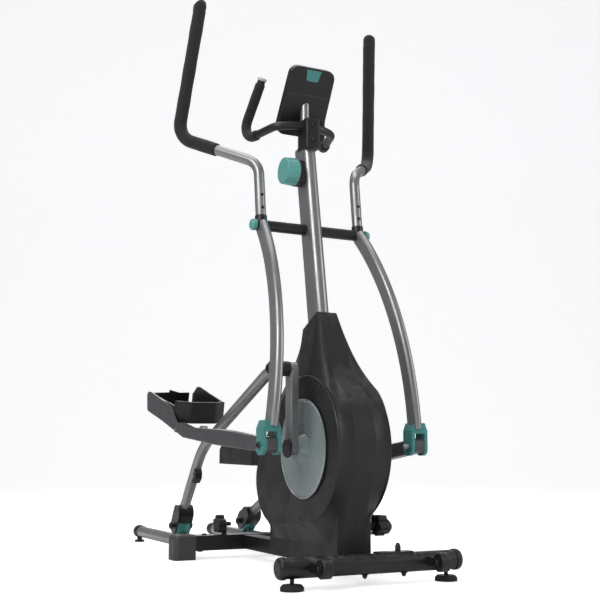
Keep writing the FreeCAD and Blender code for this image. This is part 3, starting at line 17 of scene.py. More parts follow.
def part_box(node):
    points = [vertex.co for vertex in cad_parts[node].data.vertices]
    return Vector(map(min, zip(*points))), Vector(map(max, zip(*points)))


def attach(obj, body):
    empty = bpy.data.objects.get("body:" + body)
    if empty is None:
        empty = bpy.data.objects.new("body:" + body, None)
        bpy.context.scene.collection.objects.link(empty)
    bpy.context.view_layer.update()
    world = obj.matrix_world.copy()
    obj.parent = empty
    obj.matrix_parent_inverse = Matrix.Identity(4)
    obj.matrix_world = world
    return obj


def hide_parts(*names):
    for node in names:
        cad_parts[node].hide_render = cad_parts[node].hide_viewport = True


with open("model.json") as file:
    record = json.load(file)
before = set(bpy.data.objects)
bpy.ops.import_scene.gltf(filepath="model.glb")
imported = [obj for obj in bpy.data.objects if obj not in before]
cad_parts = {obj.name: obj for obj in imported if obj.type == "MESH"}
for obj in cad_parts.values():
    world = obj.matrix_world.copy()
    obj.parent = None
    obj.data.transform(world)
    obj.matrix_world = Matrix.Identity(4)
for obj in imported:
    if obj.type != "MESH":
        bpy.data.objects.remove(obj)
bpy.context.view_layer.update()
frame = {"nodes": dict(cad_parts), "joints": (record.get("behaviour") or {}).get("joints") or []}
MM = 0.001
ALONG_X = Vector((1, 0, 0))
UP = Vector((0, 0, 1))
SIDES = (("right", -1), ("left", 1))
joints = {joint["name"]: joint for joint in frame["joints"]}

# %% [markdown]
# ## The camera and the room
# The camera stands low, a little to the user's right of the machine's front, and looks slightly up. Its
# lens and place are plain numbers, worked out once so that straight tubes line up. Around it goes a pale
# cyclorama: a floor that curves up into a wall. A flat plane would do, but its far edge would show. The
# paper glows a little, only as seen directly, so that it stays white without lighting the machine.

# %% Set up the camera
CAMERA_PLACE = Vector((-1.224, -2.7645, 0.3086))
CAMERA_TURN = math.radians(26.27)
CAMERA_RISE = math.radians(9.1)
LENS = 58.28

camera_data = bpy.data.cameras.new("front_camera")
camera_data.lens = LENS
camera_data.sensor_width = 36
camera = bpy.data.objects.new("front_camera", camera_data)
bpy.context.scene.collection.objects.link(camera)
looking = Vector((
    math.sin(CAMERA_TURN) * math.cos(CAMERA_RISE),
    math.cos(CAMERA_TURN) * math.cos(CAMERA_RISE),
    math.sin(CAMERA_RISE),
))
camera.location = CAMERA_PLACE
camera.rotation_euler = looking.to_track_quat("-Z", "Y").to_euler()
bpy.context.scene.camera = camera
print("camera looks along", [round(part, 3) for part in looking])

# %% Build the floor and wall
def sweep_room(width, near, far, height, bend, steps):
    """Floor, quarter-round bend and wall as one strip, from the near edge to the top of the wall."""
    profile = [(-near, 0.0)]
    for step in range(steps + 1):
        angle = math.pi / 2 * step / steps
        profile.append((far - bend + bend * math.sin(angle), bend - bend * math.cos(angle)))
    profile.append((far, height))
    mesh = bmesh.new()
    rows = [[mesh.verts.new((side * width / 2, y, z)) for side in (-1, 1)] for y, z in profile]
    for low, high in zip(rows, rows[1:]):
        mesh.faces.new((low[0], low[1], high[1], high[0]))
    return mesh


room_mesh = bpy.data.meshes.new("studio_room")
strip = sweep_room(width=40, near=14, far=9, height=14, bend=4, steps=24)
strip.to_mesh(room_mesh)
strip.free()
for face in room_mesh.polygons:
    face.use_smooth = True
room = bpy.data.objects.new("studio_room", room_mesh)
bpy.context.scene.collection.objects.link(room)
room.rotation_euler = (0, 0, -CAMERA_TURN)

paper = bpy.data.materials.new("studio_paper")
paper.use_nodes = True
paper_shader = paper.node_tree.nodes["Principled BSDF"]
paper_shader.inputs["Base Color"].default_value = (0.86, 0.86, 0.86, 1)
paper_shader.inputs["Roughness"].default_value = 0.8
paper_shader.inputs["Emission Color"].default_value = (1, 1, 1, 1)
seen = paper.node_tree.nodes.new("ShaderNodeLightPath")
glow = paper.node_tree.nodes.new("ShaderNodeMath")
glow.operation = "MULTIPLY"
glow.inputs[1].default_value = 0.62
paper.node_tree.links.new(seen.outputs["Is Camera Ray"], glow.inputs[0])
paper.node_tree.links.new(glow.outputs[0], paper_shader.inputs["Emission Strength"])
room_mesh.materials.append(paper)
print("room", len(room_mesh.vertices), "vertices")

# %% [markdown]
# ## The light
# Tubes look round when one side is bright and the other falls away, so the sky is grey and soft boxes
# give the brightness. Each is a large area light, because a small one would leave hard shadows.

# %% Hang the soft boxes
def soft_box(name, place, aim, size, power):
    data = bpy.data.lights.new(name, "AREA")
    data.shape = "RECTANGLE"
    data.size, data.size_y = size
    data.energy = power
    box_light = bpy.data.objects.new(name, data)
    bpy.context.scene.collection.objects.link(box_light)
    box_light.location = place
    box_light.rotation_euler = (Vector(aim) - Vector(place)).to_track_quat("-Z", "Y").to_euler()
    return box_light


AIM = (0, 0, 0.8)
soft_box("key_box", (-3.4, -2.4, 3.0), AIM, (2.2, 2.6), 95)
soft_box("fill_box", (3.6, -2.8, 1.8), AIM, (1.6, 2.8), 46)
soft_box("top_box", (0, 0.4, 4.2), AIM, (3.4, 3.4), 70)
soft_box("back_box", (2.0, 4.2, 2.6), AIM, (2.6, 2.0), 60)

sky = bpy.data.worlds.new("studio_sky")
bpy.context.scene.world = sky
sky.use_nodes = True
SKY_BRIGHTNESS = 0.3
sky.node_tree.nodes["Background"].inputs["Color"].default_value = (0.93, 0.95, 1.0, 1)
sky.node_tree.nodes["Background"].inputs["Strength"].default_value = SKY_BRIGHTNESS
bpy.context.scene.view_settings.view_transform = "Standard"
print("lights", [light.name for light in bpy.data.lights])

# %% [markdown]
# ## Tools for making finishes
# A finish is a Principled shader with patterns feeding its colour, roughness and bumps. Patterns that
# several finishes share are node groups, made once: each finish places one and sets its own values.

# %% Helpers for nodes
def add(tree, kind, **settings):
    node = tree.nodes.new("ShaderNode" + kind)
    for key, setting in settings.items():
        setattr(node, key, setting)
    return node


def connect(tree, source, target):
    """Links a socket, or sets a plain value."""
    if isinstance(source, bpy.types.NodeSocket):
        tree.links.new(source, target)
    else:
        target.default_value = source


def maths(tree, operation, first, second=0.0, clamp=False):
    node = add(tree, "Math", operation=operation, use_clamp=clamp)
    connect(tree, first, node.inputs[0])
    connect(tree, second, node.inputs[1])
    return node.outputs[0]


def ramp(tree, value, low, high, start=0.0, end=1.0):
    """A smooth step from start to end as value goes from low to high."""
    node = add(tree, "MapRange", interpolation_type="SMOOTHSTEP", clamp=True)
    connect(tree, value, node.inputs["Value"])
    for socket, number in zip(("From Min", "From Max", "To Min", "To Max"), (low, high, start, end)):
        connect(tree, number, node.inputs[socket])
    return node.outputs["Result"]


def blend_colour(tree, factor, first, second):
    node = add(tree, "Mix", data_type="RGBA")
    connect(tree, factor, node.inputs["Factor"])
    connect(tree, first, node.inputs[6])
    connect(tree, second, node.inputs[7])
    return node.outputs[2]


def noise_at(tree, scale, detail=2.0, stretch=(1, 1, 1)):
    """Noise that stays on the piece, with scale in features per metre."""
    place = add(tree, "TexCoord").outputs["Object"]
    mapping = add(tree, "Mapping")
    connect(tree, place, mapping.inputs["Vector"])
    mapping.inputs["Scale"].default_value = stretch
    pattern = add(tree, "TexNoise")
    connect(tree, mapping.outputs["Vector"], pattern.inputs["Vector"])
    connect(tree, scale, pattern.inputs["Scale"])
    pattern.inputs["Detail"].default_value = detail
    return pattern.outputs["Fac"]


def cells_at(tree, scale, feature="F1"):
    """Round cells that stay on the piece, with scale in cells per metre."""
    pattern = add(tree, "TexVoronoi", feature=feature)
    connect(tree, add(tree, "TexCoord").outputs["Object"], pattern.inputs["Vector"])
    connect(tree, scale, pattern.inputs["Scale"])
    return pattern


def start_group(name, inputs, outputs):
    """A node group with number inputs (name: usual value) and number outputs (names)."""
    tree = bpy.data.node_groups.new(name, "ShaderNodeTree")
    for label, usual in inputs.items():
        socket = tree.interface.new_socket(label, in_out="INPUT", socket_type="NodeSocketFloat")
        socket.default_value = usual
    for label in outputs:
        tree.interface.new_socket(label, in_out="OUTPUT", socket_type="NodeSocketFloat")
    start = tree.nodes.new("NodeGroupInput")
    end = tree.nodes.new("NodeGroupOutput")
    return tree, start.outputs, end.inputs


def use_group(tree, group, **settings):
    node = tree.nodes.new("ShaderNodeGroup")
    node.node_tree = group
    for label, setting in settings.items():
        connect(tree, setting, node.inputs[label.replace("_", " ")])
    return node.outputs


# %% [markdown]
# ## Shared patterns
# **Edge wear** finds edges by comparing the surface's direction with a rounded copy of it, then breaks
# the line up with noise, as real rubbing does. **Dust** settles on what faces up. **Moulded grain** is the
# fine spark-eroded texture of a plastic mould. **Coat orange peel** is the soft ripple of powder coat.
# **Foam cells** are the closed bubbles of a grip. **Drawn lines** are the long faint marks of drawn tube.

# %% Edge wear
def make_edge_wear():
    tree, start, end = start_group("Edge wear", {"Width": 0.001, "Breakup": 60.0}, ["Mask"])
    rounded = add(tree, "Bevel", samples=4)
    connect(tree, start["Width"], rounded.inputs["Radius"])
    facing = add(tree, "VectorMath", operation="DOT_PRODUCT")
    connect(tree, rounded.outputs["Normal"], facing.inputs[0])
    connect(tree, add(tree, "NewGeometry").outputs["Normal"], facing.inputs[1])
    edge = ramp(tree, facing.outputs["Value"], 0.995, 0.93)
    rubbed = ramp(tree, noise_at(tree, start["Breakup"], 3.0), 0.35, 0.65, 0.35, 1.0)
    connect(tree, maths(tree, "MULTIPLY", edge, rubbed), end["Mask"])
    return tree


EDGE_WEAR = make_edge_wear()

# %% Dust
def make_dust():
    tree, start, end = start_group("Dust", {"Amount": 0.3}, ["Mask", "Smudge"])
    split = add(tree, "SeparateXYZ")
    connect(tree, add(tree, "NewGeometry").outputs["Normal"], split.inputs[0])
    upward = ramp(tree, split.outputs["Z"], 0.35, 1.0)
    clumps = ramp(tree, noise_at(tree, 38.0, 5.0), 0.4, 0.75)
    settled = maths(tree, "MULTIPLY", upward, clumps)
    connect(tree, maths(tree, "MULTIPLY", settled, start["Amount"]), end["Mask"])
    connect(tree, ramp(tree, noise_at(tree, 14.0, 4.0), 0.35, 0.7), end["Smudge"])
    return tree


DUST = make_dust()

# %% Moulded grain
def make_moulded_grain():
    tree, start, end = start_group("Moulded grain", {"Grains per metre": 900.0}, ["Height", "Tone"])
    pits = cells_at(tree, start["Grains per metre"], "SMOOTH_F1").outputs["Distance"]
    fine = noise_at(tree, maths(tree, "MULTIPLY", start["Grains per metre"], 2.2), 2.0)
    deep = maths(tree, "MULTIPLY", pits, 0.7)
    connect(tree, maths(tree, "ADD", deep, maths(tree, "MULTIPLY", fine, 0.5)), end["Height"])
    connect(tree, ramp(tree, noise_at(tree, 7.0, 3.0), 0.3, 0.7), end["Tone"])
    return tree


MOULDED_GRAIN = make_moulded_grain()

# %% Coat orange peel
def make_orange_peel():
    tree, start, end = start_group("Coat orange peel", {"Ripples per metre": 320.0}, ["Height", "Tone"])
    ripple = noise_at(tree, start["Ripples per metre"], 1.0)
    speck = noise_at(tree, maths(tree, "MULTIPLY", start["Ripples per metre"], 5.0), 2.0)
    connect(tree, maths(tree, "ADD", ripple, maths(tree, "MULTIPLY", speck, 0.35)), end["Height"])
    connect(tree, ramp(tree, noise_at(tree, 9.0, 3.0), 0.3, 0.7), end["Tone"])
    return tree


ORANGE_PEEL = make_orange_peel()

# %% Foam cells
def make_foam_cells():
    tree, start, end = start_group("Foam cells", {"Cells per metre": 1400.0}, ["Height", "Shade"])
    bubbles = cells_at(tree, start["Cells per metre"])
    lumps = noise_at(tree, 90.0, 3.0)
    soft_lumps = maths(tree, "MULTIPLY", lumps, 0.6)
    connect(tree, maths(tree, "ADD", bubbles.outputs["Distance"], soft_lumps), end["Height"])
    connect(tree, ramp(tree, lumps, 0.3, 0.7), end["Shade"])
    return tree


FOAM_CELLS = make_foam_cells()

# %% Drawn lines
def make_drawn_lines():
    tree, start, end = start_group("Drawn lines", {"Lines per metre": 260.0}, ["Height"])
    lines = noise_at(tree, start["Lines per metre"], 3.0, stretch=(1, 0.05, 0.05))
    cross = noise_at(tree, start["Lines per metre"], 2.0, stretch=(1, 1, 0.03))
    along_lines = maths(tree, "MULTIPLY", lines, 0.5)
    connect(tree, maths(tree, "ADD", along_lines, maths(tree, "MULTIPLY", cross, 0.5)), end["Height"])
    return tree


DRAWN_LINES = make_drawn_lines()
print("groups", [group.name for group in bpy.data.node_groups])

# %% [markdown]
# ## Finishes
# Every finish starts as a plain Principled shader. Numbers that are the same all over the surface go on
# the shader's own sockets; only what changes over the surface is linked in.

# %% Start a finish
def start_finish(name, roughness, metallic=0.0, coat=0.0, coat_roughness=0.2, specular=0.5):
    material = bpy.data.materials.new(name)
    material.use_nodes = True
    tree = material.node_tree
    shader = tree.nodes["Principled BSDF"]
    shader.inputs["Roughness"].default_value = roughness
    shader.inputs["Metallic"].default_value = metallic
    shader.inputs["Coat Weight"].default_value = coat
    shader.inputs["Coat Roughness"].default_value = coat_roughness
    shader.inputs["Specular IOR Level"].default_value = specular
    return material, tree, shader


def grey(level):
    return (level, level, level, 1)


def raise_bumps(tree, shader, height, depth, strength=1.0):
    bump = add(tree, "Bump")
    bump.inputs["Distance"].default_value = depth
    bump.inputs["Strength"].default_value = strength
    connect(tree, height, bump.inputs["Height"])
    connect(tree, bump.outputs["Normal"], shader.inputs["Normal"])
    return bump


# %% Powder coats on steel
def powder_coat(name, colour, worn, roughness, metallic, ripples, wear=0.5):
    """Sprayed and baked paint: a slight ripple, paler or darker rubbed edges, a little dust."""
    material, tree, shader = start_finish(name, roughness, metallic, coat=0.12, coat_roughness=0.3)
    peel = use_group(tree, ORANGE_PEEL, Ripples_per_metre=ripples)
    edge = use_group(tree, EDGE_WEAR, Width=0.0012, Breakup=70.0)
    dust = use_group(tree, DUST, Amount=0.16)
    darker = tuple(part * 0.88 for part in colour[:3]) + (1,)
    body_colour = blend_colour(tree, peel["Tone"], colour, darker)
    rubbed = blend_colour(tree, maths(tree, "MULTIPLY", edge["Mask"], wear), body_colour, worn)
    dusty = blend_colour(tree, dust["Mask"], rubbed, (0.62, 0.6, 0.57, 1))
    connect(tree, dusty, shader.inputs["Base Color"])
    smudged = ramp(tree, dust["Smudge"], 0, 1, roughness - 0.04, roughness + 0.08)
    connect(tree, smudged, shader.inputs["Roughness"])
    raise_bumps(tree, shader, peel["Height"], 0.00012, 0.6)
    return material


SILVER = powder_coat("satin_silver_coat", grey(0.34), grey(0.62), 0.34, 0.75, 420.0, 0.4)
BLACK_COAT = powder_coat("satin_black_coat", (0.006, 0.006, 0.0065, 1), grey(0.06), 0.42, 0.0, 380.0, 0.45)
GUNMETAL = powder_coat("gunmetal_coat", (0.085, 0.086, 0.09, 1), grey(0.24), 0.4, 0.4, 420.0, 0.6)
print("powder coats made")

# %% Moulded plastics
def moulded(name, colour, worn, roughness, grains, depth, coat=0.0, wear=0.4, dust_amount=0.14):
    """Injection-moulded plastic: the mould's fine texture, slow colour drift, polished edges."""
    material, tree, shader = start_finish(name, roughness, coat=coat, coat_roughness=0.15)
    grain = use_group(tree, MOULDED_GRAIN, Grains_per_metre=grains)
    edge = use_group(tree, EDGE_WEAR, Width=0.001, Breakup=90.0)
    dust = use_group(tree, DUST, Amount=dust_amount)
    darker = tuple(part * 0.86 for part in colour[:3]) + (1,)
    body_colour = blend_colour(tree, grain["Tone"], colour, darker)
    rubbed = blend_colour(tree, maths(tree, "MULTIPLY", edge["Mask"], wear), body_colour, worn)
    dusty = blend_colour(tree, dust["Mask"], rubbed, (0.6, 0.58, 0.55, 1))
    connect(tree, dusty, shader.inputs["Base Color"])
    smudged = ramp(tree, dust["Smudge"], 0, 1, roughness - 0.05, roughness + 0.07)
    connect(tree, smudged, shader.inputs["Roughness"])
    raise_bumps(tree, shader, grain["Height"], depth, 0.7)
    return material


BLACK_PLASTIC = moulded("textured_black_plastic", (0.008, 0.008, 0.0085, 1), grey(0.08), 0.46, 1100.0,
                        0.00008, wear=0.55)
GREY_PLASTIC = moulded("grey_green_plastic", (0.055, 0.06, 0.054, 1), grey(0.2), 0.46, 900.0, 0.00006)
TURQUOISE = moulded("turquoise_plastic", (0.055, 0.27, 0.245, 1), (0.36, 0.62, 0.58, 1), 0.32, 700.0, 0.00003,
                    coat=0.25, wear=0.65)
PALE_PLASTIC = moulded("pale_plastic", grey(0.6), grey(0.75), 0.34, 800.0, 0.00004, coat=0.15)
LIGHT_TURQUOISE = moulded("light_turquoise_plastic", (0.12, 0.4, 0.365, 1), (0.5, 0.75, 0.7, 1), 0.34, 700.0,
                          0.00003, coat=0.25)
DISC_PLASTIC = moulded("smoked_disc_plastic", (0.24, 0.29, 0.29, 1), grey(0.55), 0.22, 500.0, 0.00002,
                       coat=0.35)
print("plastics made")

# %% [markdown]
# ## The housing's own plastic
# The housing halves meet along the machine's middle, and a round cover line runs about the crank axle.
# Both are thin grooves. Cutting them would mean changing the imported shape, so the material sinks them:
# the distance from the middle plane and from the crank axle says where the groove is.

# %% Housing plastic with seams
CRANK = Vector(joints["crank_spin"]["pos_m"])
COVER_RADIUS = 0.152
SEAM_WIDTH = 0.0011


def groove_line(tree, distance, at_distance, width):
    """1 on a line at that distance, falling to 0 over its half width."""
    away = maths(tree, "ABSOLUTE", maths(tree, "SUBTRACT", distance, at_distance))
    return ramp(tree, away, width, width * 0.35)


def housing_plastic():
    material, tree, shader = start_finish("housing_plastic", 0.5)
    grain = use_group(tree, MOULDED_GRAIN, Grains_per_metre=1000.0)
    edge = use_group(tree, EDGE_WEAR, Width=0.0014, Breakup=60.0)
    dust = use_group(tree, DUST, Amount=0.14)
    split = add(tree, "SeparateXYZ")
    connect(tree, add(tree, "TexCoord").outputs["Object"], split.inputs[0])
    back = maths(tree, "SUBTRACT", split.outputs["Y"], CRANK.y)
    height = maths(tree, "SUBTRACT", split.outputs["Z"], CRANK.z)
    squares = maths(tree, "ADD", maths(tree, "MULTIPLY", back, back), maths(tree, "MULTIPLY", height, height))
    from_axle = maths(tree, "SQRT", squares)
    side = ramp(tree, maths(tree, "ABSOLUTE", split.outputs["X"]), 0.05, 0.06)
    ring = maths(tree, "MULTIPLY", groove_line(tree, from_axle, COVER_RADIUS, SEAM_WIDTH), side)
    middle = groove_line(tree, split.outputs["X"], 0.0, SEAM_WIDTH)
    seams = maths(tree, "MAXIMUM", ring, middle)
    body_colour = blend_colour(tree, grain["Tone"], (0.012, 0.012, 0.0125, 1), (0.0095, 0.0095, 0.01, 1))
    rubbed = blend_colour(tree, maths(tree, "MULTIPLY", edge["Mask"], 0.35), body_colour, grey(0.09))
    dusty = blend_colour(tree, dust["Mask"], rubbed, (0.5, 0.49, 0.47, 1))
    connect(tree, blend_colour(tree, seams, dusty, grey(0.006)), shader.inputs["Base Color"])
    connect(tree, ramp(tree, dust["Smudge"], 0, 1, 0.44, 0.56), shader.inputs["Roughness"])
    sunk = maths(tree, "SUBTRACT", maths(tree, "MULTIPLY", grain["Height"], 0.12), seams)
    raise_bumps(tree, shader, sunk, 0.0006, 0.8)
    return material


HOUSING = housing_plastic()
print("housing plastic made")

# %% Foam and rubber
def foam_finish():
    """Closed-cell foam: tiny bubbles, a soft lumpy shade, and a dull sheen at grazing angles."""
    material, tree, shader = start_finish("closed_cell_foam", 0.78, specular=0.35)
    shader.inputs["Sheen Weight"].default_value = 0.18
    shader.inputs["Sheen Roughness"].default_value = 0.5
    cells = use_group(tree, FOAM_CELLS, Cells_per_metre=1300.0)
    dust = use_group(tree, DUST, Amount=0.1)
    colour = blend_colour(tree, cells["Shade"], (0.012, 0.012, 0.013, 1), (0.021, 0.021, 0.022, 1))
    connect(tree, blend_colour(tree, dust["Mask"], colour, grey(0.3)), shader.inputs["Base Color"])
    connect(tree, ramp(tree, cells["Shade"], 0, 1, 0.7, 0.86), shader.inputs["Roughness"])
    raise_bumps(tree, shader, cells["Height"], 0.00035, 0.8)
    return material


def rubber_finish():
    material, tree, shader = start_finish("black_rubber", 0.62, specular=0.4)
    grain = use_group(tree, MOULDED_GRAIN, Grains_per_metre=700.0)
    dust = use_group(tree, DUST, Amount=0.3)
    colour = blend_colour(tree, grain["Tone"], grey(0.017), grey(0.026))
    connect(tree, blend_colour(tree, dust["Mask"], colour, grey(0.3)), shader.inputs["Base Color"])
    connect(tree, ramp(tree, grain["Tone"], 0, 1, 0.56, 0.7), shader.inputs["Roughness"])
    raise_bumps(tree, shader, grain["Height"], 0.00015, 0.7)
    return material


FOAM = foam_finish()
RUBBER = rubber_finish()
print("foam and rubber made")

# %% Bare metals
def bare_metal(name, colour, roughness, lines, stained):
    """Zinc plate, or machined iron: drawn lines and slow stains in the shine."""
    material, tree, shader = start_finish(name, roughness, metallic=1.0)
    drawn = use_group(tree, DRAWN_LINES, Lines_per_metre=lines)
    edge = use_group(tree, EDGE_WEAR, Width=0.0006, Breakup=120.0)
    dust = use_group(tree, DUST, Amount=0.08)
    darker = tuple(part * stained for part in colour[:3]) + (1,)
    patchy = blend_colour(tree, dust["Smudge"], colour, darker)
    worn = maths(tree, "MULTIPLY", edge["Mask"], 0.5)
    connect(tree, blend_colour(tree, worn, patchy, grey(0.8)), shader.inputs["Base Color"])
    smudged = ramp(tree, dust["Smudge"], 0, 1, roughness - 0.06, roughness + 0.1)
    connect(tree, smudged, shader.inputs["Roughness"])
    raise_bumps(tree, shader, drawn["Height"], 0.00006, 0.6)
    return material


ZINC = bare_metal("zinc_plate", grey(0.6), 0.28, 900.0, 0.8)
IRON = bare_metal("machined_iron", grey(0.3), 0.42, 500.0, 0.6)
print("bare metals made")

# %% Display window
def display_finish():
    """A liquid-crystal window: olive-grey glass with faint cells and a hard clear face."""
    material, tree, shader = start_finish("display_window", 0.16, coat=1.0, coat_roughness=0.04)
    rows = cells_at(tree, 420.0)
    row_mask = ramp(tree, rows.outputs["Distance"], 0.2, 0.6)
    colour = blend_colour(tree, row_mask, (0.16, 0.19, 0.15, 1), (0.13, 0.16, 0.125, 1))
    smudge = use_group(tree, DUST, Amount=0.1)
    connect(tree, blend_colour(tree, smudge["Mask"], colour, grey(0.4)), shader.inputs["Base Color"])
    connect(tree, ramp(tree, smudge["Smudge"], 0, 1, 0.12, 0.24), shader.inputs["Roughness"])
    return material


DISPLAY = display_finish()
print("finishes", len(bpy.data.materials))

# %% [markdown]
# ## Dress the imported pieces
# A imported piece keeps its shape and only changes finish. The list reads by finish, so that one look at it
# says what the machine is made of.

# %% Which finish goes on which piece
def both(*names):
    return [side + "_" + name for side, sign in SIDES for name in names]


DRESSING = [
    (SILVER, ["mast", "console_post", *both("lower_arm", "upper_arm", "roller_arm", "crank_arm", "rail")]),
    (BLACK_COAT, [
        "front_bar", "rear_beam", "base_frame", "handlebar", "pivot_tube",
        *both("arm_hub", "roller_bracket", "pin_hub"),
    ]),
    (GUNMETAL, both("foot_rail")),
    (HOUSING, both("housing")),
    (BLACK_PLASTIC, [
        "console", "console_button", "handlebar_clamp", "knob_base", "crank_caps",
        "lock_knob", "rear_lock_knob",
        "front_bar_caps", "rail_feet", "drive_pulley", *both("pedal", "transport_wheel"),
    ]),
    (GREY_PLASTIC, ["rear_beam_feet"]),
    (TURQUOISE, both("arm_fork", "roller")),
    (LIGHT_TURQUOISE, ["resistance_knob", "pivot_caps"]),
    (PALE_PLASTIC, ["handlebar_ends"]),
    (DISC_PLASTIC, ["crank_discs"]),
    (RUBBER, ["drive_belt", *both("level_foot")]),
    (ZINC, ["crank_axle", "magnet_brake"]),
    (IRON, ["flywheel"]),
    (DISPLAY, ["console_screen"]),
    (FOAM, ["handlebar_grips", *both("foam_grip")]),
]


def dress(node, material):
    piece = frame["nodes"][node]
    piece.data.materials.clear()
    piece.data.materials.append(material)


dressed = set()
for material, names in DRESSING:
    for node in names:
        dress(node, material)
        dressed.add(node)
print("not dressed", sorted(set(frame["nodes"]) - dressed))

# %% [markdown]
# ## Tools for making small pieces
# Each tool adds its shape to a mesh that is being built, so that all the bolts of one moving part become
# one piece. A turned shape is a profile spun about a line. A prism is an outline pushed along a line. A
# tube is a row of rings along a path.

# %% Turned shapes, prisms and tubes
def stand(point, along):
    """A place at point whose Z looks along the given direction."""
    return Matrix.Translation(point) @ Vector(along).to_track_quat("Z", "Y").to_matrix().to_4x4()


def add_turned(mesh, place, profile, steps=32):
    """profile is (radius, height) from the middle of one end to the middle of the other."""
    rings = []
    for radius, height in profile:
        if radius == 0:
            rings.append([mesh.verts.new(place @ Vector((0, 0, height)))])
            continue
        ring = []
        for step in range(steps):
            angle = 2 * math.pi * step / steps
            spot = Vector((radius * math.cos(angle), radius * math.sin(angle), height))
            ring.append(mesh.verts.new(place @ spot))
        rings.append(ring)
    join_rings(mesh, rings)


def join_rings(mesh, rings):
    for low, high in zip(rings, rings[1:]):
        count = max(len(low), len(high))
        for step in range(count):
            following = (step + 1) % count
            if len(low) == 1:
                mesh.faces.new((low[0], high[following], high[step]))
            elif len(high) == 1:
                mesh.faces.new((low[step], low[following], high[0]))
            else:
                mesh.faces.new((low[step], low[following], high[following], high[step]))


def add_prism(mesh, place, outline, height, chamfer):
    """An outline in the place's XY plane, raised by height, with its top edge drawn in by chamfer."""
    middle_x = sum(point[0] for point in outline) / len(outline)
    middle_y = sum(point[1] for point in outline) / len(outline)

    def ring(drawn_in, level):
        verts = []
        for x, y in outline:
            reach = math.hypot(x - middle_x, y - middle_y)
            share = 1 - drawn_in / reach
            verts.append(mesh.verts.new(place @ Vector((
                middle_x + (x - middle_x) * share, middle_y + (y - middle_y) * share, level,
            ))))
        return verts

    rings = [ring(0, 0), ring(0, height - chamfer), ring(chamfer, height)]
    join_rings(mesh, rings)
    mesh.faces.new(list(reversed(rings[0])))
    mesh.faces.new(rings[-1])


def add_tube(mesh, points, radii, steps=24, closed=False):
    """Rings round each point, each turned square to the path."""
    count = len(points)
    side = None
    rings = []
    for index, point in enumerate(points):
        before = points[index - 1] if index or closed else point
        after = points[(index + 1) % count] if index < count - 1 or closed else point
        along = (after - before).normalized()
        if side is None:
            side = along.orthogonal().normalized()
        side = (side - along * side.dot(along)).normalized()
        other = along.cross(side)
        radius = radii[index] if isinstance(radii, list) else radii
        ring = []
        for step in range(steps):
            angle = 2 * math.pi * step / steps
            ring.append(mesh.verts.new(point + (side * math.cos(angle) + other * math.sin(angle)) * radius))
        rings.append(ring)
    if closed:
        rings.append(rings[0])
    join_rings(mesh, rings)
    if not closed:
        mesh.faces.new(list(reversed(rings[0])))
        mesh.faces.new(rings[-1])


def finish_piece(name, mesh, body, material, sharp=40):
    """Turns a built mesh into a named piece that rides on a body."""
    bmesh.ops.recalc_face_normals(mesh, faces=mesh.faces[:])
    data = bpy.data.meshes.new(name)
    mesh.to_mesh(data)
    mesh.free()
    data.materials.append(material)
    for face in data.polygons:
        face.use_smooth = True
    data.set_sharp_from_angle(angle=math.radians(sharp))
    piece = bpy.data.objects.new(name, data)
    bpy.context.scene.collection.objects.link(piece)
    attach(piece, body)
    return piece


# %% [markdown]
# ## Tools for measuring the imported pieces
# New pieces find their places by touch. A ray meets a surface and gives the point and the way it faces; a
# slice through a tube gives the tube's middle, and a walk of slices gives its whole line.

# %% Touch, flat faces and slices
def touch(node, start, toward):
    """Where a ray from start first meets the node, and the surface's outward direction there."""
    piece = frame["nodes"][node]
    found, point, facing, face = piece.ray_cast(Vector(start), Vector(toward).normalized())
    if not found:
        raise ValueError(f"no surface of {node} from {tuple(start)} toward {tuple(toward)}")
    return point, facing


def middle_of(node):
    low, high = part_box(node)
    return (low + high) / 2


def edge_ends(node):
    data = frame["nodes"][node].data
    places = np.array([vert.co for vert in data.vertices])
    pairs = np.array([edge.vertices for edge in data.edges])
    return places[pairs[:, 0]], places[pairs[:, 1]]


def slice_points(ends, point, along, reach):
    """Points where a node's edges cross the plane through point, no further than reach away."""
    first, second = ends
    a = (first - np.array(point)) @ np.array(along)
    b = (second - np.array(point)) @ np.array(along)
    crossing = (a * b) < 0
    share = (a[crossing] / (a[crossing] - b[crossing]))[:, None]
    hits = first[crossing] + (second[crossing] - first[crossing]) * share
    near = np.linalg.norm(hits - np.array(point), axis=1) < reach
    return hits[near]


def slice_middle(ends, point, along, reach):
    hits = slice_points(ends, point, along, reach)
    if len(hits) < 6:
        return None
    side = along.orthogonal().normalized()
    other = along.cross(side)
    middle = Vector(point)
    for direction in (side, other):
        spread = (hits - np.array(point)) @ np.array(direction)
        middle += direction * float(spread.min() + spread.max()) / 2
    return middle


def tube_line(node, start, heading, step, reach):
    """Walks down the inside of a tube from one end to the other."""
    ends = edge_ends(node)
    point, along = Vector(start), Vector(heading).normalized()
    line = []
    while len(line) < 400:
        middle = slice_middle(ends, point, along, reach)
        if middle is None:
            break
        if line:
            along = (middle - line[-1]).normalized()
        line.append(middle)
        point = middle + along * step
    return line


# %% [markdown]
# ## Foam sleeves
# The handles are covered by black foam tube, pushed on with soapy water. It is soft, so its ends are
# rounded, it bulges a little before each end, and it thins on the outside of a bend. Remeshing the packed
# solid would blur the ends, so the sleeve is lofted: rings along the handle's own line, each a little
# different.

# %% Loft one sleeve
FOAM_ROLL = 0.0045


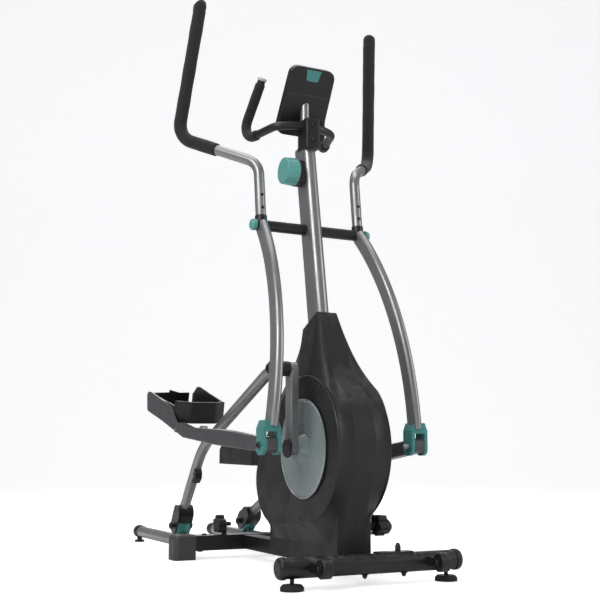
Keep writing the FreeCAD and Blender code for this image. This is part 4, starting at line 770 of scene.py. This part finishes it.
def lofted_sleeve(name, line, radius, bore, body, ripple):
    """A foam tube along line: rounded ends that turn in to the metal tube, and slow soft ripples."""
    mesh = bmesh.new()
    lengths = [0.0]
    for first, second in zip(line, line[1:]):
        lengths.append(lengths[-1] + (second - first).length)
    total = lengths[-1]
    turn_in = FOAM_ROLL
    radii = []
    for point, gone in zip(line, lengths):
        end_distance = min(gone, total - gone)
        round_off = 1.0
        if end_distance < turn_in:
            round_off = math.sqrt(max(0.0, 1 - (1 - end_distance / turn_in) ** 2))
        wave = noise.noise(point * 24) * ripple
        radii.append(bore + (radius - bore) * (0.25 + 0.75 * round_off) + wave * round_off)
    add_tube(mesh, line, radii, steps=36)
    sleeve = finish_piece(name, mesh, body, FOAM, sharp=60)
    return sleeve, total


def even_line(line, spacing, end_share=0.12):
    """The same line with points close together near its ends, where the foam turns in."""
    lengths = [0.0]
    for first, second in zip(line, line[1:]):
        lengths.append(lengths[-1] + (second - first).length)
    total = lengths[-1]
    marks = [0.0, 0.0008, 0.002, 0.004, 0.0065]
    marks += [0.009 + spacing * index for index in range(int((total - 0.018) / spacing) + 1)]
    marks += [total - mark for mark in (0.0065, 0.004, 0.002, 0.0008, 0.0)]
    even = []
    for mark in marks:
        index = max(i for i, gone in enumerate(lengths) if gone <= mark + 1e-9)
        index = min(index, len(line) - 2)
        share = (mark - lengths[index]) / (lengths[index + 1] - lengths[index])
        even.append(line[index].lerp(line[index + 1], share))
    return even


# %% Sleeves on the swing arms
FOAM_RADIUS = 0.019
for side, sign in SIDES:
    node = side + "_foam_grip"
    low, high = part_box(node)
    outer_x = low.x if sign < 0 else high.x
    start = Vector((outer_x - sign * FOAM_RADIUS, 0, high.z - 0.004))
    start.y = (slice_points(edge_ends(node), start, UP, 1.0)[:, 1].mean())
    line = tube_line(node, start, -UP, 0.006, 0.05)
    sleeve, long = lofted_sleeve(side + "_foam_sleeve", even_line(line, 0.006), FOAM_RADIUS, 0.0162,
                                 side + "_handle", 0.0008)
    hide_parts(node)
    print(side, "sleeve", round(long, 3), "m, points", len(line))

# %% Sleeves on the fixed handlebar
GRIP_RADIUS = 0.015
grip_ends = edge_ends("handlebar_grips")
grip_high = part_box("handlebar_grips")[1]
bar_sleeves = []
for side, sign in SIDES:
    hits = slice_points(grip_ends, Vector((0, 0, grip_high.z - 0.012)), UP, 1.0)
    own = hits[np.sign(hits[:, 0]) == sign]
    start = Vector(own.mean(axis=0))
    line = tube_line("handlebar_grips", start, -UP, 0.005, 0.035)
    sleeve, long = lofted_sleeve(side + "_bar_sleeve", even_line(line, 0.005), GRIP_RADIUS, 0.0128,
                                 "base", 0.0006)
    bar_sleeves.append(sleeve)
    print(side, "bar sleeve", round(long, 3), "m")
for sleeve in bar_sleeves:
    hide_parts("handlebar_grips")


# %% [markdown]
# ## Bolts, nuts and caps
# Every joint on a machine like this ends in a bolt: a domed hexagon nut where a spanner goes, or a round
# head with a hexagon hole where a key goes. The solids carry the pins, so these are the heads. A shared
# profile keeps them alike, as parts from one bag of fixings are.

# %% Heads and nuts
def add_round_head(mesh, place, radius):
    """A button head with a hexagon key hole."""
    tall = radius * 0.55
    key = radius * 0.42
    add_turned(mesh, place, [
        (0, tall * 0.35), (key, tall * 0.35), (key, tall), (radius * 0.7, tall), (radius * 0.93, tall * 0.6),
        (radius, tall * 0.15), (radius, 0), (0, 0),
    ], steps=24)


def add_dome_nut(mesh, place, radius):
    """A hexagon nut under a closed dome, on a thin washer."""
    washer = radius * 0.14
    add_turned(mesh, place, [(0, 0), (radius * 1.35, 0), (radius * 1.35, washer), (0, washer)], steps=28)
    corners = [math.radians(60 * k) for k in range(6)]
    hexagon = [(radius * math.cos(turn), radius * math.sin(turn)) for turn in corners]
    add_prism(mesh, place @ Matrix.Translation((0, 0, washer)), hexagon, radius * 0.62, radius * 0.1)
    dome = radius * 0.78
    dome_base = radius * 0.72
    rises = [math.radians(degrees) for degrees in range(0, 90, 15)]
    arc = [(dome * math.cos(turn), dome_base + dome * math.sin(turn)) for turn in rises]
    add_turned(mesh, place, [(0, washer), (dome, washer)] + arc + [(0, dome_base + dome)], steps=24)


def fixings(name, body, kind, spots, radius, material=None):
    """All the fixings of one size on one moving part, as one piece. spots are (point, direction)."""
    mesh = bmesh.new()
    for point, along in spots:
        kind(mesh, stand(point, along), radius)
    return finish_piece(name, mesh, body, material or ZINC, sharp=30)


# %% Fixings on the moving parts
def outer_face(node, sign):
    low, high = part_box(node)
    return low.x if sign < 0 else high.x


for side, sign in SIDES:
    fork = Vector(joints[side + "_fork_pivot"]["pos_m"])
    fork_face = outer_face(side + "_arm_fork", sign)
    fork_inner = outer_face(side + "_arm_fork", -sign)
    fixings(side + "_fork_bolts", side + "_arm", add_round_head, [
        (Vector((fork_face, fork.y, fork.z)), ALONG_X * sign),
    ], 9 * MM, BLACK_COAT)
    fixings(side + "_fork_nut", side + "_arm", add_dome_nut, [
        (Vector((fork_inner, fork.y, fork.z)), ALONG_X * -sign),
    ], 7 * MM)
    hub = middle_of(side + "_pin_hub")
    fixings(side + "_crank_pin_cap", side + "_roller_arm", add_round_head, [
        (Vector((outer_face(side + "_pin_hub", sign), hub.y, hub.z)), ALONG_X * sign),
    ], 14 * MM, BLACK_PLASTIC)
    axle = Vector(joints[side + "_roller_spin"]["pos_m"])
    for way, label in ((sign, "outer"), (-sign, "inner")):
        fixings(f"{side}_roller_cap_{label}", side + "_roller_arm", add_round_head, [
            (Vector((outer_face(side + "_roller_bracket", way), axle.y, axle.z)), ALONG_X * way),
        ], 12 * MM, BLACK_PLASTIC)
    wheel = middle_of(side + "_transport_wheel")
    fixings(side + "_wheel_bolts", "base", add_round_head, [
        (Vector((wheel.x + way * 17 * MM, wheel.y, wheel.z)), ALONG_X * way) for way in (-1, 1)
    ], 6 * MM, BLACK_COAT)
print("fixings on the arms and wheels")

# %% [markdown]
# ## Bolts under the bar, on the rails and on the clamp
# The frame bolts together for shipping: two domed nuts under the front bar hold the spine, two more sit on
# the rear beam where the rails join it, and a pair of key bolts pinches the handlebar in its clamp.

# %% Fixings on the frame
bar_middle_y = middle_of("front_bar_caps").y
under_bar = []
for across in (-0.02, 0.09):
    point, facing = touch("front_bar", (across, bar_middle_y, -0.1), UP)
    under_bar.append((point, -UP))
fixings("bar_nuts", "base", add_dome_nut, under_bar, 7 * MM, BLACK_COAT)

beam_bolts = []
for side, sign in SIDES:
    rail_x = middle_of(side + "_rail").x
    point, facing = touch("rear_beam", (rail_x, middle_of("rear_beam").y, 0.4), -UP)
    beam_bolts.append((point, UP))
fixings("beam_bolts", "base", add_round_head, beam_bolts, 8 * MM, BLACK_COAT)

clamp_low, clamp_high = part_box("handlebar_clamp")
clamp_bolts = []
for up in (0.24, 0.76):
    height = clamp_low.z + (clamp_high.z - clamp_low.z) * up
    point, facing = touch("handlebar_clamp", (0, clamp_low.y - 0.1, height), (0, 1, 0))
    clamp_bolts.append((point, facing))
fixings("clamp_bolts", "base", add_round_head, clamp_bolts, 6.5 * MM, BLACK_COAT)
print("fixings on the frame")

# %% [markdown]
# ## Housing screws
# Moulded halves are screwed together from one side, down deep round wells. Seen from outside each is a
# dark ring with a screw head at the bottom. The well is drawn as a shallow dish standing on the surface by
# less than a millimetre, with the head inside it.

# %% Screw wells round the housing
def add_screw_well(mesh, place, radius):
    add_turned(mesh, place, [
        (0, 0.2 * MM), (radius * 0.3, 0.2 * MM), (radius * 0.3, 0.5 * MM), (radius * 0.62, 0.5 * MM),
        (radius * 0.66, 0.1 * MM), (radius * 0.9, 0.1 * MM), (radius, 0.9 * MM), (radius * 1.12, 0.7 * MM),
        (radius * 1.2, 0), (0, -1 * MM),
    ], steps=28)


WELL_RING = 0.176
for side, sign in SIDES:
    wells = []
    for degrees in (-52, 28, 118, 205):
        angle = math.radians(degrees)
        spot = CRANK + Vector((sign * 0.4, WELL_RING * math.cos(angle), WELL_RING * math.sin(angle)))
        point, facing = touch(side + "_housing", spot, ALONG_X * -sign)
        wells.append((point, facing))
    fixings(side + "_housing_screws", "base", add_screw_well, wells, 6 * MM, BLACK_PLASTIC)
print("screw wells on both sides")

# %% [markdown]
# ## The disc's bright rim
# A thin polished ring trims each crank disc. It is a tube bent round the crank axle, which rides with it.

# %% Trim rings
disc_low, disc_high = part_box("crank_discs")
disc_radius = (disc_high.z - disc_low.z) / 2
for side, sign in SIDES:
    ring = bmesh.new()
    rim_spot = CRANK + Vector((sign * 0.3, 0, -(disc_radius - 2 * MM)))
    rim_seat, _ = touch("crank_discs", rim_spot, ALONG_X * -sign)
    face = rim_seat.x
    points = []
    for step in range(96):
        angle = 2 * math.pi * step / 96
        points.append(Vector((face - sign * 0.4 * MM, CRANK.y + (disc_radius - 2 * MM) * math.cos(angle),
                              CRANK.z + (disc_radius - 2 * MM) * math.sin(angle))))
    add_tube(ring, points, 1.6 * MM, steps=8, closed=True)
    finish_piece(side + "_disc_rim", ring, "crank_set", ZINC)
print("disc radius", round(disc_radius, 4))

# %% [markdown]
# ## The console's back and face
# Behind the console a turquoise tab marks the lid, with a seam under it and a sunk screw. In front there
# is a display window with a bezel, and segment digits that show a plain row of zeros. The pieces take
# their tilt from the case: three touches on its back give its direction.

# %% Find the console's own directions
con_low, con_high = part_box("console")
con_middle = (con_low + con_high) / 2
back_spots = [
    touch("console", con_middle + Vector((across, -0.3, up)), (0, 1, 0))[0]
    for across, up in ((-0.03, 0.05), (0.03, 0.05), (0, 0))
]
outward = (back_spots[1] - back_spots[0]).cross(back_spots[2] - back_spots[0]).normalized()
if outward.y > 0:
    outward = -outward
lift = ALONG_X.cross(outward).normalized()
if lift.z < 0:
    lift = -lift
case_tall = (con_high.z - con_low.z) / lift.z * 0.93


def on_case(across, up, out):
    """A place on the console's back: across, up from its middle, and out from its surface."""
    spot = con_middle + ALONG_X * across + lift * up + outward * 0.2
    point, facing = touch("console", spot, -outward)
    return point + outward * out


print("console faces", [round(part, 3) for part in outward], "height", round(case_tall, 3))

# %% Tab, seam and screw on its back
tab = bmesh.new()
half_tall = case_tall / 2
tab_top, tab_foot = half_tall - 4 * MM, half_tall - 36 * MM
outline = [(-15 * MM, tab_foot), (-19 * MM, tab_foot + 4 * MM), (-23 * MM, tab_top), (23 * MM, tab_top),
           (19 * MM, tab_foot + 4 * MM), (15 * MM, tab_foot)]
base = on_case(0, (tab_top + tab_foot) / 2, 0)
turn = Matrix((ALONG_X, lift, outward)).transposed().to_4x4()
place = Matrix.Translation(base - lift * (tab_top + tab_foot) / 2) @ turn
add_prism(tab, place, outline, 1.6 * MM, 0.7 * MM)
finish_piece("console_tab", tab, "base", TURQUOISE)

seam = bmesh.new()
seam_height = half_tall - 78 * MM
seam_line = [on_case(across, seam_height - 260 * across * across * MM, 0.1 * MM) for across in
             [-62 * MM + 4 * MM * step for step in range(32)]]
add_tube(seam, seam_line, 0.9 * MM, steps=8)
finish_piece("console_seam", seam, "base", GREY_PLASTIC)
fixings("console_screw", "base", add_screw_well, [(on_case(0, seam_height - 14 * MM, 0), outward)], 6 * MM,
        BLACK_PLASTIC)

# %% Bezel and digits on its face
screen_low, screen_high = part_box("console_screen")
screen_middle = (screen_low + screen_high) / 2
inward = -outward


def on_face(across, up, out):
    spot = screen_middle + ALONG_X * across + lift * up + inward * 0.2
    point, facing = touch("console_screen", spot, outward)
    return point + inward * out


# each bar of a zero: across, up, and whether it lies flat
SEGMENTS = {
    "a": (0, 1, True), "b": (0.5, 0.5, False), "c": (0.5, -0.5, False),
    "d": (0, -1, True), "e": (-0.5, -0.5, False), "f": (-0.5, 0.5, False),
}
ZERO = "abcdef"


def add_digit(mesh, across, up, tall, shape):
    """One segment digit, as thin bars on the glass."""
    wide = tall * 0.52
    for key in shape:
        x, z, flat = SEGMENTS[key]
        centre = on_face(across + x * wide, up + z * tall / 2, 0.05 * MM)
        half_long, half_thin = (wide * 0.4, tall * 0.05) if flat else (tall * 0.05, tall * 0.2)
        bar = [(-half_long, -half_thin), (half_long, -half_thin),
               (half_long, half_thin), (-half_long, half_thin)]
        add_prism(mesh, Matrix.Translation(centre) @ face_turn, bar, 0.25 * MM, 0.1 * MM)


face_turn = Matrix((-ALONG_X, lift, inward)).transposed().to_4x4()
digits = bmesh.new()
for row, (up, tall) in enumerate(((22 * MM, 15 * MM), (-4 * MM, 10 * MM), (-24 * MM, 10 * MM))):
    for column in range(4):
        add_digit(digits, (-28 + 18 * column) * MM, up, tall, ZERO)
finish_piece("display_digits", digits, "base", RUBBER)

bezel = bmesh.new()
half_wide = (screen_high.x - screen_low.x) / 2 + 2.2 * MM
corner_up = 43 * MM
frame_line = []
for across, up in ((-1, -1), (1, -1), (1, 1), (-1, 1)):
    for turn_step in range(5):
        start_angle = {(-1, -1): 180, (1, -1): 270, (1, 1): 0, (-1, 1): 90}[(across, up)]
        angle = math.radians(start_angle + 22.5 * turn_step)
        x = across * (half_wide - 5 * MM) + 5 * MM * math.cos(angle)
        z = up * (corner_up - 5 * MM) + 5 * MM * math.sin(angle)
        frame_line.append(on_face(0, 0, 0) + ALONG_X * x + lift * z + inward * 2.2 * MM)
add_tube(bezel, frame_line, 1.1 * MM, steps=8, closed=True)
finish_piece("display_bezel", bezel, "base", TURQUOISE)
print("console dressed")

# %% [markdown]
# ## Pedal treads
# A foot tray has raised ribs so that a shoe doesn't slide. Each rib lies on the tray's floor, found by
# touch, and ends short of the walls. They are rounded bars, one mesh for each tray.

# %% Ribs on the trays
RIB_GAP = 0.017
for side, sign in SIDES:
    node = side + "_pedal"
    low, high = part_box(node)
    centre_x = (low.x + high.x) / 2
    link = Vector(joints[side + "_link_pivot"]["pos_m"])
    fork = Vector(joints[side + "_fork_pivot"]["pos_m"])
    ribs = bmesh.new()
    count = 0
    y = low.y + 0.05
    while y < high.y - 0.06:
        floor, facing = touch(node, (centre_x, y, high.z + 0.1), -UP)
        if facing.z > 0.9:
            ends = []
            for way in (-1, 1):
                wall, _ = touch(node, floor + UP * 4 * MM, ALONG_X * way)
                ends.append(wall.x - way * 9 * MM)
            line = [Vector((ends[0] + (ends[1] - ends[0]) * k / 12, floor.y, floor.z)) for k in range(13)]
            line = [point + facing * 0.5 * MM for point in line]
            add_tube(ribs, line, 2.4 * MM, steps=10)
            count += 1
        y += RIB_GAP
    finish_piece(side + "_pedal_ribs", ribs, side + "_foot_rail", RUBBER)
    print(side, "tray has", count, "ribs")

# %% [markdown]
# ## Weld beads
# Tubes are welded where they meet, and the bead shows as a rippled roll of metal under the paint. The
# loop for each bead comes from slicing the tube close to its joint; noise gives the ripples.

# %% Beads along slices
def bead_loop(node, point, along, reach):
    """The outline of a tube where the plane cuts it, outermost points only, in order round the tube."""
    hits = slice_points(edge_ends(node), Vector(point), Vector(along), reach)
    middle = Vector(hits.mean(axis=0))
    side_way = Vector(along).orthogonal().normalized()
    other_way = Vector(along).cross(side_way)
    sectors = {}
    for hit in hits:
        offset = Vector(hit) - middle
        angle = math.atan2(offset.dot(other_way), offset.dot(side_way))
        key = round(angle / (2 * math.pi) * 40)
        if key not in sectors or offset.length > sectors[key][0]:
            sectors[key] = (offset.length, angle, Vector(hit))
    loop = [hit for _, angle, hit in sorted(sectors.values(), key=lambda item: item[1])]
    return loop


def weld_bead(name, node, point, along, reach, body, material, size=1.9):
    loop = bead_loop(node, point, along, reach)
    rounded = []
    for index, here in enumerate(loop):
        following = loop[(index + 1) % len(loop)]
        steps = max(1, int((following - here).length / (2.2 * MM)))
        rounded += [here.lerp(following, k / steps) for k in range(steps)]
    mesh = bmesh.new()
    radii = [size * MM * (0.85 + 0.3 * noise.noise(spot * 420)) for spot in rounded]
    add_tube(mesh, rounded, radii, steps=8, closed=True)
    finish_piece(name, mesh, body, material, sharp=60)
    return len(rounded)


for side, sign in SIDES:
    rail_low, rail_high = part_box(side + "_rail")
    rail_middle = (rail_low + rail_high) / 2
    bead_place = (rail_middle.x, rail_low.y + 1.5 * MM, rail_middle.z)
    count = weld_bead(side + "_rail_weld", side + "_rail", bead_place, (0, 1, 0), 0.05,
                      "base", SILVER)
    print(side, "rail bead", count, "ripples")
